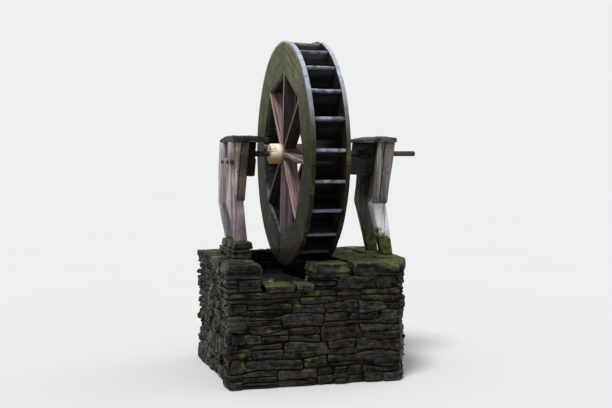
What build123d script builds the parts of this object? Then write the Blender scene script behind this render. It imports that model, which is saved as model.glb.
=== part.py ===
from build123d import *

import os
from math import cos, radians, sin, sqrt

# A small overshot water wheel between two timber supports, on a rubble masonry base.
# Millimetres. X runs along the axle, Y away from the front, Z up.
# The origin is on the ground, below the middle of the wheel.

# Wheel
axle_height = 1050.0  # ground to the axle's centre line
wheel_radius = 550.0
wheel_width = 180.0  # over the outer faces of both shrouds
wheel_turn = 6.0  # degrees that the spokes stand turned towards the front
spoke_count = 8
buckets_per_flat = 3  # buckets on each flat of the sole
shroud_thickness = 20.0
shroud_flat = 370.0  # centre to the flat inner edges of the shrouds
board_joint = 1.0  # open joint between neighbouring boards of the wheel
sole_thickness = 18.0
bucket_thickness = 14.0
bucket_trail = 8.0  # degrees that a lip lies behind its root
lip_setback = 2.0  # lips end this far inside the rim
spoke_width = 62.0  # along the axle
spoke_thickness = 18.0
mortise_depth = 24.0
seat_clearance = 0.3  # around pieces that are let into one another
hub_radius = 50.0
hub_length = 306.0
hub_bevel = 5.0
axle_radius = 14.0
axle_bevel = 2.0
axle_free_end = 610.0  # middle of the wheel to the axle's free end
axle_left_overrun = 40.0  # axle past the left bearing
axle_end_radius = 13.0  # the free end is turned down for a pulley
axle_end_length = 130.0
running_clearance = 0.05  # between the axle and its bearings, all round

# Timber supports: heights from the axle's centre line, widths from the middle of the wheel
cap_underside = 55.0
cap_thickness = 32.0
cap_front = 172.0
cap_back = 160.0
knee_drop = 240.0  # axle down to the knee of the legs
leg_depth = 60.0
leg_spacing = 220.0  # front leg to back leg, middle to middle
beam_top_drop = 20.0  # axle down to the top of the bearing beam
beam_height = 88.0
plank_thickness = 38.0  # bearing beam and keep
plank_proud = 4.0  # the beam stands this far proud of the keep
outer_board_thickness = 20.0
facing_thickness = 20.0
facing_joint = 2.0  # open joint between the two facing boards
edge_bevel = 2.0

left_outer_top = 378.0
left_outer_knee = 386.0
left_outer_foot = 352.0
left_inner_top = 283.0
left_inner_knee = 308.0
left_inner_foot = 290.0
left_facing_inset = 26.0  # outer edge of the facing, in from the leg's outer face
left_facing_drop = 223.0  # axle down to the lower ends of the facing boards
left_inner_facing_width = 38.0
left_cap_outer = 372.0
left_cap_inner = 190.0

right_outer_top = 450.0
right_outer_knee = 408.0
right_outer_foot = 447.0
right_inner_top = 357.0
right_inner_knee = 328.0
right_inner_foot = 388.0
right_facing_inset = 0.0
right_facing_drop = 245.0
right_inner_facing_width = 37.0
right_cap_outer = 456.0
right_cap_inner = 278.0

# Masonry base, fitted to the wheel and the feet of the supports
wheel_dip = 50.0  # the rim reaches this far below the ledge
rim_clearance = 20.0  # rim to the edges of the ledge, front and back
floor_clearance = 70.0  # rim down to the floor of the wheel pit
left_clearance = 195.0  # left shroud to the abutment
right_clearance = 40.0  # right shroud to the pier
left_margin = 108.0  # masonry past the outer feet
right_margin = 18.0
front_wall_thickness = 180.0  # at the top of the battered front
back_wall_thickness = 80.0
front_batter = 30.0  # the front face stands out this much more at the ground
coping_thickness = 60.0
left_pad_rise = 80.0  # top of the left support's pad above the ledge
left_pad_thickness = 75.0
lip_thickness = 32.0
spillway_right = 50.0  # middle of the wheel to the right edge of the spillway, on the left
corner_width = 88.0  # the pier's front corner is cut off: along X and along Y
corner_depth = 200.0
coping_overhang = 8.0
coping_joint = 3.0
lip_overhang = 14.0
lip_length = 150.0
pad_margin = 26.0
stone_bevel = 6.0

# Worked out from the sizes above
half_width = wheel_width / 2
inside_half = half_width - shroud_thickness
first_spoke = 90 + wheel_turn
sole_outer_flat = shroud_flat + sole_thickness
hub_half = hub_length / 2
spoke_inner_face = half_width - spoke_width
cap_level = axle_height + cap_underside
beam_top = axle_height - beam_top_drop
beam_bottom = beam_top - beam_height
knee_level = axle_height - knee_drop
leg_front = -(leg_spacing + leg_depth) / 2
leg_back = -leg_front
leg_gap = leg_spacing - leg_depth
ledge_drop = wheel_radius - wheel_dip
ledge_top = axle_height - ledge_drop
masonry_top = ledge_top - coping_thickness
left_pad_top = ledge_top + left_pad_rise
floor_top = axle_height - wheel_radius - floor_clearance
pit_reach = sqrt((wheel_radius + rim_clearance) ** 2 - ledge_drop**2)
pit_left = half_width + left_clearance
pit_right = half_width + right_clearance
base_left = left_outer_foot + left_margin
base_right = right_outer_foot + right_margin
base_front = pit_reach + front_wall_thickness
base_back = pit_reach + back_wall_thickness

os.makedirs("parts", exist_ok=True)


def save(piece, label):
    """Name a finished piece and write it."""
    piece.part.label = label
    export_step(piece.part, f"parts/{label}.step")


def wheel_plane(x):
    """Plane across the axle at x: its own x axis is +Y and its y axis is +Z."""
    return Plane(origin=(x, 0, axle_height), x_dir=(0, 1, 0), z_dir=(1, 0, 0))


def polar_point(radius, angle):
    """Point on a wheel plane."""
    return (radius * cos(radians(angle)), radius * sin(radians(angle)))


def flat_sided(flat_radius, mode):
    """Many-sided outline with its corners in line with the spokes."""
    return RegularPolygon(
        flat_radius, spoke_count, major_radius=False, rotation=first_spoke, mode=mode
    )


def cut_radial_joints():
    """Open joints in line with the spokes."""
    with PolarLocations(wheel_radius / 2, spoke_count, start_angle=first_spoke):
        Rectangle(wheel_radius * 1.2, board_joint, mode=Mode.SUBTRACT)


# Wheel pieces


def make_shroud(label, low_x):
    """Side of the wheel: boards with a round outer and a flat inner edge."""
    with BuildPart() as shroud:
        with BuildSketch(wheel_plane(low_x)):
            Circle(wheel_radius)
            flat_sided(shroud_flat, Mode.SUBTRACT)
            cut_radial_joints()
        extrude(amount=shroud_thickness)
    save(shroud, label)


def make_sole():
    """Flat boards that close the buckets towards the axle, mitred at the corners."""
    with BuildPart() as sole:
        with BuildSketch(wheel_plane(-inside_half)):
            flat_sided(sole_outer_flat, Mode.ADD)
            flat_sided(shroud_flat, Mode.SUBTRACT)
            cut_radial_joints()
        extrude(amount=2 * inside_half)
    save(sole, "sole_boards")


def make_buckets():
    """Slanting boards from the sole to the rim: each lip lies behind its root."""
    bucket_count = spoke_count * buckets_per_flat
    with BuildPart() as buckets:
        with BuildSketch(wheel_plane(-inside_half)):
            for number in range(bucket_count):
                root_angle = first_spoke + number * 360 / bucket_count
                root = Vector(*polar_point(shroud_flat, root_angle))
                lip = Vector(*polar_point(wheel_radius, root_angle - bucket_trail))
                lean = (lip - root).get_angle(Vector(1, 0, 0))
                if lip.Y < root.Y:
                    lean = -lean
                with Locations(lip):
                    Rectangle(
                        2 * (lip - root).length, bucket_thickness, rotation=lean
                    )
            Circle(wheel_radius - lip_setback, mode=Mode.INTERSECT)
            flat_sided(sole_outer_flat, Mode.SUBTRACT)
        extrude(amount=2 * inside_half)
    save(buckets, "bucket_boards")


def spoke_outlines(clearance):
    """Spokes seen along the axle, from the bottom of their mortises to the rim."""
    inner_end = hub_radius - mortise_depth - clearance
    length = wheel_radius - inner_end
    with PolarLocations(inner_end + length / 2, spoke_count, start_angle=first_spoke):
        Rectangle(length, spoke_thickness + 2 * clearance)


def make_spokes(label, low_x):
    """One set of spokes, pointed to fit the corners of the sole."""
    with BuildPart() as spokes:
        with BuildSketch(wheel_plane(low_x)):
            spoke_outlines(0)
            flat_sided(shroud_flat - seat_clearance, Mode.INTERSECT)
        extrude(amount=spoke_width)
    save(spokes, label)


def make_hub():
    """Round log with a mortise for each spoke and a bore for the axle."""
    with BuildPart() as hub:
        with BuildSketch(wheel_plane(-hub_half)):
            Circle(hub_radius)
        extrude(amount=hub_length)
        chamfer(hub.edges().filter_by(GeomType.CIRCLE), hub_bevel)
        for low_x in (-half_width, spoke_inner_face):
            with BuildSketch(wheel_plane(low_x - seat_clearance)):
                spoke_outlines(seat_clearance)
            extrude(amount=spoke_width + 2 * seat_clearance, mode=Mode.SUBTRACT)
        with BuildSketch(wheel_plane(-hub_half)):
            Circle(axle_radius + seat_clearance)
        extrude(amount=hub_length, mode=Mode.SUBTRACT)
    save(hub, "hub")


def make_axle():
    """Steel bar through both supports, with its free end turned down."""
    left_end = -(left_inner_top + axle_left_overrun)
    shoulder = axle_free_end - axle_end_length
    with BuildPart() as axle:
        with BuildSketch(wheel_plane(left_end)):
            Circle(axle_radius)
        extrude(amount=shoulder - left_end)
        with BuildSketch(wheel_plane(shoulder)):
            Circle(axle_end_radius)
        extrude(amount=axle_end_length)
        ends = axle.edges().filter_by(GeomType.CIRCLE).sort_by(Axis.X)
        chamfer([ends[0], ends[-1]], axle_bevel)
    save(axle, "axle")


# Timber supports


class Support:
    """Outline of one support: lines of its legs, seen from the front."""

    def __init__(self, name, sign, outer, inner, foot_level, facing, cap):
        self.name = name
        self.sign = sign
        self.outer = outer
        self.inner = inner
        self.foot_level = foot_level
        self.facing_inset, self.facing_drop, self.inner_facing_width = facing
        self.cap = cap

    def line_at(self, line, level):
        """Distance of a leg's face from the middle of the wheel at a level above the knee."""
        top, knee, _ = line
        share = (cap_level - level) / (cap_level - knee_level)
        return top + (knee - top) * share

    def strip(self, near, far, high, low):
        """Corners of a board between two distances, each given as a function of level."""
        corners = [(near(high), high), (far(high), high), (far(low), low), (near(low), low)]
        return [(self.sign * x, z) for x, z in corners]


def front_plane(y):
    """Upright plane facing the front at depth y: extruding it goes to the back."""
    return Plane(origin=(0, y, 0), x_dir=(1, 0, 0), z_dir=(0, -1, 0))


def board(points, front, depth):
    """Board with the given front outline, from front to front + depth."""
    with BuildSketch(front_plane(front)) as outline:
        with BuildLine():
            Polyline(*points, close=True)
        make_face()
    extrude(outline.sketch, amount=-depth)


def make_leg(support, label, front):
    """Rough post with a knee, seen from the front."""
    outer_top, outer_knee, outer_foot = support.outer
    inner_top, inner_knee, inner_foot = support.inner
    outline = [
        (inner_top, cap_level),
        (outer_top, cap_level),
        (outer_knee, knee_level),
        (outer_foot, support.foot_level),
        (inner_foot, support.foot_level),
        (inner_knee, knee_level),
    ]
    with BuildPart() as leg:
        board([(support.sign * x, z) for x, z in outline], front, leg_depth)
        chamfer(leg.edges().filter_by(Axis.Y, reverse=True).filter_by(Axis.X, reverse=True), edge_bevel)
    save(leg, f"{support.name}_{label}")


def make_bearing(support):
    """Beam under the axle and the keep over it, bolted to the legs on the wheel's side."""
    depth = leg_back - leg_front

    def leg_face(level):
        return support.line_at(support.inner, level)

    def keep_face(level):
        return leg_face(level) - plank_thickness

    def beam_face(level):
        return keep_face(level) - plank_proud

    with BuildPart() as beam:
        board(support.strip(beam_face, leg_face, beam_top, beam_bottom), leg_front, depth)
        chamfer(beam.edges().filter_by(Axis.Y), edge_bevel)
    save(beam, f"{support.name}_bearing_beam")

    bore_start = support.sign * leg_face(axle_height) - 2 * plank_thickness
    with BuildPart() as keep:
        board(support.strip(keep_face, leg_face, cap_level, beam_top), leg_front, depth)
        with BuildSketch(wheel_plane(bore_start)):
            Circle(axle_radius + running_clearance)
        extrude(amount=4 * plank_thickness, mode=Mode.SUBTRACT)
    save(keep, f"{support.name}_bearing_keep")


def make_outer_board(support):
    """Board let in between the legs, flush with their outer faces."""

    def outer_face(level):
        return support.line_at(support.outer, level)

    def inner_face(level):
        return outer_face(level) - outer_board_thickness

    with BuildPart() as outer_board:
        points = support.strip(inner_face, outer_face, beam_top, knee_level)
        board(points, leg_front + leg_depth, leg_gap)
    save(outer_board, f"{support.name}_outer_board")


def make_facings(support):
    """Two boards side by side on the front leg."""

    def outer_edge(level):
        return support.line_at(support.outer, level) - support.facing_inset

    def joint_outer(level):
        return joint_inner(level) + facing_joint

    def joint_inner(level):
        return inner_edge(level) + support.inner_facing_width

    def inner_edge(level):
        return support.line_at(support.inner, level)

    front = leg_front - facing_thickness
    bottom = axle_height - support.facing_drop
    with BuildPart() as outer_facing:
        board(support.strip(joint_outer, outer_edge, cap_level, bottom), front, facing_thickness)
        chamfer(outer_facing.faces().sort_by(Axis.Y)[0].edges(), edge_bevel)
    save(outer_facing, f"{support.name}_outer_facing")

    with BuildPart() as inner_facing:
        board(support.strip(inner_edge, joint_inner, cap_level, bottom), front, facing_thickness)
        chamfer(inner_facing.faces().sort_by(Axis.Y)[0].edges(), edge_bevel)
    save(inner_facing, f"{support.name}_inner_facing")


def make_cap(support):
    """Thick board on top of both legs, overhanging towards the wheel."""
    cap_outer, cap_inner = support.cap
    middle = support.sign * (cap_outer + cap_inner) / 2
    with BuildPart() as cap:
        with BuildSketch(Plane.XY.offset(cap_level)):
            with Locations((middle, (cap_back - cap_front) / 2)):
                Rectangle(cap_outer - cap_inner, cap_front + cap_back)
        extrude(amount=cap_thickness)
        chamfer(cap.edges(), edge_bevel)
    save(cap, f"{support.name}_cap_board")


def make_support(support):
    """All the pieces of one support."""
    make_leg(support, "front_leg", leg_front)
    make_leg(support, "back_leg", leg_back - leg_depth)
    make_bearing(support)
    make_outer_board(support)
    make_facings(support)
    make_cap(support)


# Masonry base


def side_plane(x):
    """Upright plane across the base at x: its own x axis is +Y and its y axis is +Z."""
    return Plane(origin=(x, 0, 0), x_dir=(0, 1, 0), z_dir=(1, 0, 0))


def battered_wall(left, right, back, top):
    """Wall from the leaning front face to back, between two X positions."""
    with BuildSketch(side_plane(left)) as section:
        with BuildLine():
            Polyline(
                (-base_front - front_batter, 0),
                (-base_front - front_batter * (1 - top / ledge_top), top),
                (back, top),
                (back, 0),
                close=True,
            )
        make_face()
    extrude(section.sketch, amount=right - left)


def block(left, right, front, back, bottom, top):
    """Plain block between the given faces."""
    with BuildSketch(Plane.XY.offset(bottom)) as plan:
        with Locations(((left + right) / 2, (front + back) / 2)):
            Rectangle(right - left, back - front)
    extrude(plan.sketch, amount=top - bottom)


def cut_front_corner(right, top):
    """Slanting face instead of the front right corner."""
    start = (right - corner_width, -base_front - coping_overhang)
    end = (right, start[1] + corner_depth)
    ahead = (start[0] - corner_width / 2, start[1] - corner_depth / 2)
    past = (end[0] + corner_width / 2, end[1] + corner_depth / 2)
    with BuildSketch() as corner:
        with BuildLine():
            Polyline(ahead, (past[0], ahead[1]), past, close=True)
        make_face()
    extrude(corner.sketch, amount=top, mode=Mode.SUBTRACT)


def make_walls():
    """Rubble walls round the wheel pit, each down to the ground."""
    with BuildPart() as left_abutment:
        battered_wall(-base_left, -pit_left, base_back, left_pad_top - left_pad_thickness)
    save(left_abutment, "left_abutment")

    with BuildPart() as right_pier:
        battered_wall(pit_right, base_right, base_back, masonry_top)
        cut_front_corner(base_right, masonry_top)
    save(right_pier, "right_pier")

    with BuildPart() as front_pier:
        battered_wall(-spillway_right, pit_right, -pit_reach, masonry_top)
    save(front_pier, "front_pier")

    with BuildPart() as spill_wall:
        battered_wall(-pit_left, -spillway_right, -pit_reach, floor_top)
    save(spill_wall, "spill_wall")

    with BuildPart() as pit_floor:
        block(-pit_left, pit_right, -pit_reach, pit_reach, 0, floor_top)
    save(pit_floor, "pit_floor")

    with BuildPart() as back_wall:
        block(-pit_left, pit_right, pit_reach, base_back, 0, ledge_top)
        chamfer(back_wall.edges().filter_by(Axis.X).group_by(Axis.Z)[-1], stone_bevel)
    save(back_wall, "back_wall")


def make_slabs():
    """Flat stones: copings on the piers, the pad of the left support, the lip of the spillway."""
    coping_front = -base_front - coping_overhang
    with BuildPart() as front_coping:
        block(
            -spillway_right - coping_overhang,
            pit_right - coping_joint,
            coping_front,
            -pit_reach,
            masonry_top,
            ledge_top,
        )
        chamfer(front_coping.faces().sort_by(Axis.Z)[-1].edges(), stone_bevel)
    save(front_coping, "front_coping")

    with BuildPart() as right_coping:
        coping_right = base_right + coping_overhang
        block(pit_right, coping_right, coping_front, base_back, masonry_top, ledge_top)
        cut_front_corner(coping_right, ledge_top)
        chamfer(right_coping.faces().sort_by(Axis.Z)[-1].edges(), stone_bevel)
    save(right_coping, "right_coping")

    with BuildPart() as left_pad:
        block(
            -left_outer_foot - pad_margin,
            -left_inner_foot + pad_margin,
            leg_front - pad_margin,
            leg_back + pad_margin,
            left_pad_top - left_pad_thickness,
            left_pad_top,
        )
        chamfer(left_pad.faces().sort_by(Axis.Z)[-1].edges(), stone_bevel)
    save(left_pad, "left_pad")

    with BuildPart() as spill_lip:
        lip_front = -base_front - front_batter * (1 - floor_top / ledge_top) - lip_overhang
        block(
            -pit_left,
            -spillway_right,
            lip_front,
            lip_front + lip_length,
            floor_top,
            floor_top + lip_thickness,
        )
        chamfer(spill_lip.faces().sort_by(Axis.Z)[-1].edges().filter_by(Axis.X), stone_bevel)
    save(spill_lip, "spill_lip")


make_shroud("left_shroud", -half_width)
make_shroud("right_shroud", inside_half)
make_sole()
make_buckets()
make_spokes("left_spokes", -half_width)
make_spokes("right_spokes", spoke_inner_face)
make_hub()
make_axle()

left_support = Support(
    "left",
    -1,
    (left_outer_top, left_outer_knee, left_outer_foot),
    (left_inner_top, left_inner_knee, left_inner_foot),
    left_pad_top,
    (left_facing_inset, left_facing_drop, left_inner_facing_width),
    (left_cap_outer, left_cap_inner),
)
right_support = Support(
    "right",
    1,
    (right_outer_top, right_outer_knee, right_outer_foot),
    (right_inner_top, right_inner_knee, right_inner_foot),
    ledge_top,
    (right_facing_inset, right_facing_drop, right_inner_facing_width),
    (right_cap_outer, right_cap_inner),
)
make_support(left_support)
make_support(right_support)
make_walls()
make_slabs()
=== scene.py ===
# %% [markdown]
# # Dressing a small overshot watermill
# A wooden bucket wheel turns on a steel axle between two timber supports, over a pit of rubble
# masonry. The CAD model already fixes every size and place. This lesson gives it the looks: worn
# boards and posts, a turned log, rusty iron and wet, mossy stone. Everything is made in metres, in
# the model's own frame, so that no piece has to be fitted afterwards.

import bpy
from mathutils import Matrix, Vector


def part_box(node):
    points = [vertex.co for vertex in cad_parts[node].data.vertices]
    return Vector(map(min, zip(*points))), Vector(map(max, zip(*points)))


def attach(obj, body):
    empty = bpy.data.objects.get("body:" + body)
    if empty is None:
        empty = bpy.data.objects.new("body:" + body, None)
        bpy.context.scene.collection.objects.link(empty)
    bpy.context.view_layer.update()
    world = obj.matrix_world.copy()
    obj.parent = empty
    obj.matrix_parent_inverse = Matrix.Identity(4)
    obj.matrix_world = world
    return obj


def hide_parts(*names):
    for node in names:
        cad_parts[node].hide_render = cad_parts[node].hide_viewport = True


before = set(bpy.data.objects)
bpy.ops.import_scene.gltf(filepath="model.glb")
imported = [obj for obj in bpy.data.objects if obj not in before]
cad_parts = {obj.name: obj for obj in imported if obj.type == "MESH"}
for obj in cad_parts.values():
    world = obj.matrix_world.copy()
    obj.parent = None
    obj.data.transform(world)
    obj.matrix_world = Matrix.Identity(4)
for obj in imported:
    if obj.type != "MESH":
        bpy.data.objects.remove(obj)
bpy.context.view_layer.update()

# %% Blender's own modules
import math
import random
from functools import lru_cache

import bmesh
import bpy
import numpy as np
from mathutils import Vector, kdtree, noise
from mathutils.bvhtree import BVHTree

scene = bpy.context.scene
scene.view_settings.view_transform = "Standard"


def add_object(name, data):
    """Object at the origin, linked to the scene."""
    made = bpy.data.objects.new(name, data)
    scene.collection.objects.link(made)
    return made


def looking(direction):
    """Rotation that turns a camera or a lamp along a direction."""
    return Vector(direction).to_track_quat("-Z", "Y").to_euler()


# %% [markdown]
# ## Camera
# The photograph was taken from the left front, at the height of the hub. Putting the camera at the
# same spot keeps the ellipses of the wheel as they are there. Only the lens is longer, so that the
# mill fills the picture. Another way is a camera further off, but it would flatten the wheel.

# %% Camera at the photograph's viewpoint
CAMERA_PLACE = Vector((-1.278, -4.722, 1.05))
CAMERA_AIM = Vector((0.035, 0.0, 0.80))
camera = add_object("camera", bpy.data.cameras.new("camera"))
camera.location = CAMERA_PLACE
camera.rotation_euler = looking(CAMERA_AIM - CAMERA_PLACE)
camera.data.lens = 58.0
scene.camera = camera
print("camera looks along", [round(x, 3) for x in (CAMERA_AIM - CAMERA_PLACE).normalized()])

# %% [markdown]
# ## Short calls for node trees
# Every light and finish below is a tree of nodes. Writing each node and link in full would bury the
# idea, so a small wrapper adds a node, fills its inputs by name or number and links whatever is
# already a socket. It also has a short call for the few sums that nearly every finish needs.

# %% A wrapper for building trees


class Nodes:
    """Adds nodes to one tree, with inputs given by name or number."""

    def __init__(self, tree):
        self.tree = tree

    def fill(self, sockets, values):
        """Links or sets sockets. Colours are given without their alpha."""
        for name, value in values.items():
            socket = sockets[name]
            if isinstance(value, bpy.types.NodeSocket):
                self.tree.links.new(value, socket)
            else:
                socket.default_value = (*value, 1) if socket.type == "RGBA" else value

    def add(self, kind, inputs=None, **settings):
        """Adds a node and returns its outputs."""
        made = self.tree.nodes.new(kind)
        for name, value in settings.items():
            setattr(made, name, value)
        self.fill(made.inputs, inputs or {})
        return made.outputs

    def math(self, operation, first, second=0.0):
        return self.add("ShaderNodeMath", {0: first, 1: second}, operation=operation)[0]

    def plus(self, first, *others):
        for other in others:
            first = self.math("ADD", first, other)
        return first

    def times(self, first, *others):
        for other in others:
            first = self.math("MULTIPLY", first, other)
        return first

    def minus(self, first, second):
        return self.math("SUBTRACT", first, second)

    def weighed(self, *terms):
        """Sum of values, each times its weight."""
        return self.plus(*(self.times(value, weight) for value, weight in terms))

    def swing(self, value, amount):
        """Turns a noise of 0 to 1 into a swing about zero."""
        return self.times(self.minus(value, 0.5), amount)

    def between(self, value, low, high, first=0.0, last=1.0):
        """Smooth step: first at low, last at high."""
        values = {0: value, 1: low, 2: high, 3: first, 4: last}
        return self.add("ShaderNodeMapRange", values, interpolation_type="SMOOTHSTEP")[0]

    def thin_line(self, value, core, fade):
        """1 on the line where a noise passes its middle, 0 beside it."""
        off_line = self.math("ABSOLUTE", self.minus(value, 0.5))
        return self.between(off_line, core, fade, 1.0, 0.0)

    def vector(self, operation, first, second):
        return self.add("ShaderNodeVectorMath", {0: first, 1: second}, operation=operation)[0]

    def join(self, x, y=0.0, z=0.0):
        return self.add("ShaderNodeCombineXYZ", {0: x, 1: y, 2: z})[0]

    def part(self, vector, axis):
        return self.add("ShaderNodeSeparateXYZ", {0: vector})[axis]

    def where(self, output="Object"):
        """Place on the object, or another output of the coordinates."""
        return self.add("ShaderNodeTexCoord")[output]

    def attribute(self, name, output="Fac"):
        return self.add("ShaderNodeAttribute", attribute_name=name)[output]

    def noise(self, vector, scale, detail=4.0, roughness=0.55):
        """Noise of 0 to 1. The scale is one number, or one for each axis."""
        if isinstance(scale, tuple):
            vector = self.vector("MULTIPLY", vector, scale)
            scale = 1.0
        values = {"Vector": vector, "Scale": scale, "Detail": detail, "Roughness": roughness}
        return self.add("ShaderNodeTexNoise", values)[0]

    def mix(self, factor, first, second, blend="MIX"):
        values = {0: factor, 6: first, 7: second}
        return self.add("ShaderNodeMix", values, data_type="RGBA", blend_type=blend)[2]

    def shade(self, colour, factor):
        """Colour made darker or lighter by a factor."""
        grey = self.add("ShaderNodeCombineColor", {0: factor, 1: factor, 2: factor})[0]
        return self.mix(1.0, colour, grey, "MULTIPLY")

    def tint(self, mask, colour, by):
        """Colour that is multiplied by another one where the mask is 1."""
        return self.mix(mask, colour, self.mix(1.0, colour, by, "MULTIPLY"))

    def group(self, name, *inputs):
        """Outputs of a shared group, whose inputs are given in their order."""
        values = dict(enumerate(inputs))
        return self.add("ShaderNodeGroup", values, node_tree=bpy.data.node_groups[name])


def darkened(colour, share):
    """Colour with only a share of its light."""
    return [share * x for x in colour]


# %% [markdown]
# ## Studio light
# Wet, dark things need light that is soft but has a direction, or their relief is lost. The world
# gives an even base, a broad sun from the upper left models the shapes, and a weaker one lifts the
# other side. The pale background is shown to camera, glossy and transmission rays alone, so it
# adds no light to the mill.

# %% World and lamps
SKY_LIGHT = 0.55
BACKDROP = (0.86, 0.87, 0.87)
world = bpy.data.worlds.new("studio")
scene.world = world
world.use_nodes = True
world.node_tree.nodes.clear()
nodes = Nodes(world.node_tree)
rays = nodes.add("ShaderNodeLightPath")
shown = nodes.math("MAXIMUM", rays["Is Camera Ray"], rays["Is Glossy Ray"])
shown = nodes.math("MAXIMUM", shown, rays["Is Transmission Ray"])
base_light = nodes.add("ShaderNodeBackground", {"Color": (1, 1, 1), "Strength": SKY_LIGHT})[0]
backdrop = nodes.add("ShaderNodeBackground", {"Color": BACKDROP})[0]
both = nodes.add("ShaderNodeMixShader", {0: shown, 1: base_light, 2: backdrop})[0]
nodes.add("ShaderNodeOutputWorld", {"Surface": both})


def add_sun(name, towards, strength, spread_degrees, colour):
    """Broad lamp that shines in one direction."""
    data = bpy.data.lights.new(name, "SUN")
    data.energy = strength
    data.angle = math.radians(spread_degrees)
    data.color = colour
    add_object(name, data).rotation_euler = looking(towards)


add_sun("key_light", (0.31, 0.36, -0.88), 2.5, 18, (1.0, 0.985, 0.96))
add_sun("fill_light", (-0.8, -0.2, -0.55), 0.4, 50, (0.95, 0.97, 1.0))

# %% [markdown]
# ## Wood grain
# Weathered softwood shows long pale and dark streaks, fine fibres and a few open splits, all along
# the board. A wave texture would look printed. Noise that is stretched a lot along the board has no
# repeat, and it follows each board because every board carries its own "grain" coordinates: along
# it, across it and through it. The "tone" of a board shifts the pattern, so no two are alike.

# %% Group: grain of a board


def new_group(name, inputs):
    """Shader node group with named values to give it: returns its wrapper and those values."""
    tree = bpy.data.node_groups.new(name, "ShaderNodeTree")
    for label, usual in inputs.items():
        socket = tree.interface.new_socket(label, in_out="INPUT", socket_type="NodeSocketFloat")
        socket.default_value = usual
    nodes = Nodes(tree)
    return nodes, nodes.add("NodeGroupInput")


def put_out(nodes, values):
    """Ends a group with one named output for each value."""
    for label, value in values.items():
        kind = "NodeSocketColor" if value.type == "RGBA" else "NodeSocketFloat"
        nodes.tree.interface.new_socket(label, in_out="OUTPUT", socket_type=kind)
    nodes.add("NodeGroupOutput", values)
    print("group", nodes.tree.name, "puts out", list(values))


nodes, given = new_group("board_grain", {"Lines": 120.0, "Splits": 0.5, "Waviness": 0.004})
shift = nodes.times(nodes.attribute("tone"), 37.0)
along = nodes.vector("ADD", nodes.attribute("grain", "Vector"), shift)
wander = nodes.swing(nodes.noise(along, (2.2, 9.0, 9.0), 2.0), given["Waviness"])
across, through = (nodes.times(nodes.plus(nodes.part(along, i), wander), given["Lines"]) for i in (1, 2))
streak_at = nodes.join(nodes.times(nodes.part(along, 0), 4.0), across, through)
streaks = nodes.noise(streak_at, 0.55, 5.0, 0.6)
fibres = nodes.noise(streak_at, 3.1, 3.0, 0.6)
split_line = nodes.thin_line(nodes.noise(streak_at, 0.16, 2.0, 0.5), 0.003, 0.011)
split_here = nodes.plus(nodes.noise(along, (5.0, 14.0, 14.0), 2.0), nodes.minus(given["Splits"], 0.5))
splits = nodes.times(split_line, nodes.between(split_here, 0.5, 0.62))
height = nodes.weighed((streaks, 0.7), (fibres, 0.3), (splits, -0.9))
put_out(nodes, {"Streaks": streaks, "Fibres": fibres, "Splits": splits, "Height": height})

# %% [markdown]
# ## Damp, moss and worn edges
# The lower timber and all the stone are wet. The damp mask of the timber is also painted shade,
# darker low down. Moss sits where water stays: on faces that look up and in patches of its own.
# Edges are rubbed pale. These effects are shared by wood and stone, so each is one group that puts
# out a mask, and each finish decides what it does with it.

# %% Group: damp patches and painted shade, heavier low down
nodes, given = new_group("damp", {"Dry above": 1.0, "Soaked below": 0.5, "Patches": 0.3})
patches = nodes.swing(nodes.noise(nodes.where(), 7.0, 5.0, 0.6), given["Patches"])
level = nodes.plus(nodes.part(nodes.where(), 2), patches)
put_out(nodes, {"Mask": nodes.between(level, given["Soaked below"], given["Dry above"], 1.0, 0.0)})

# %% Group: moss
nodes, given = new_group("moss", {"Amount": 0.5, "Likes tops": 0.3, "Foot level": -1.0})
position = nodes.where()
ragged = nodes.swing(nodes.noise(position, 17.0, 7.0, 0.72), 0.26)
above_foot = nodes.plus(nodes.minus(nodes.part(position, 2), given["Foot level"]), ragged)
growth = nodes.plus(
    nodes.noise(position, 9.0, 7.0, 0.68),
    nodes.times(nodes.part(nodes.where("Normal"), 2), given["Likes tops"]),
    nodes.minus(given["Amount"], 1.0),
    nodes.between(above_foot, 0.0, 0.2, 0.5, 0.0),
)
mask = nodes.between(growth, -0.02, 0.13)
tufts = nodes.noise(position, 190.0, 3.0, 0.7)
clumps = nodes.noise(position, 42.0, 3.0, 0.6)
colour = nodes.mix(nodes.between(clumps, 0.35, 0.68), (0.04, 0.048, 0.017), (0.115, 0.138, 0.046))
colour = nodes.mix(nodes.between(tufts, 0.5, 0.85), colour, (0.19, 0.225, 0.075))
height = nodes.times(nodes.weighed((tufts, 0.7), (clumps, 0.6)), mask)
put_out(nodes, {"Mask": mask, "Colour": colour, "Height": height})

# %% Group: worn edges
nodes, given = new_group("worn_edge", {"Edge": 0.0, "Wear": 0.5})
rubbed = nodes.plus(nodes.noise(nodes.where(), 26.0, 5.0, 0.65), nodes.minus(given["Wear"], 0.5))
put_out(nodes, {"Mask": nodes.times(given["Edge"], nodes.between(rubbed, 0.4, 0.6))})

# %% [markdown]
# ## The finish of a board
# All the timber is one kind of material with its own values: two colours of wood, how stained, wet
# and mossy it is, and how pale its edges are. A board may also have a rim that is pale partly from
# bleaching and partly as a painted highlight, palest high up; a part that is darker above a given
# level; and a painted reflection of the sky on a thin film of water on its inner edge, low down. A
# function builds it, so a new finish is one call. The wood's own colours come first and the water
# after them: damp darkens the wood, low down partly as painted shade, and adds a thin glossy coat.
# Moss grows over everything.

# %% Board finish
BOARD_RELIEF = 0.0014


class Finish(Nodes):
    """Material whose tree ends in one Principled shader."""

    def __init__(self, name):
        self.material = bpy.data.materials.new(name)
        self.material.use_nodes = True
        super().__init__(self.material.node_tree)

    def surface(self, values, height=None, distance=0.001, strength=0.8):
        """Fills the shader by the names of its inputs, with normals from a height."""
        shader = next(n for n in self.tree.nodes if n.type == "BSDF_PRINCIPLED")
        self.fill(shader.inputs, values)
        if height is not None:
            bump = {"Strength": strength, "Distance": distance, "Height": height}
            self.fill(shader.inputs, {"Normal": self.add("ShaderNodeBump", bump)[0]})
        return self.material


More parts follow.
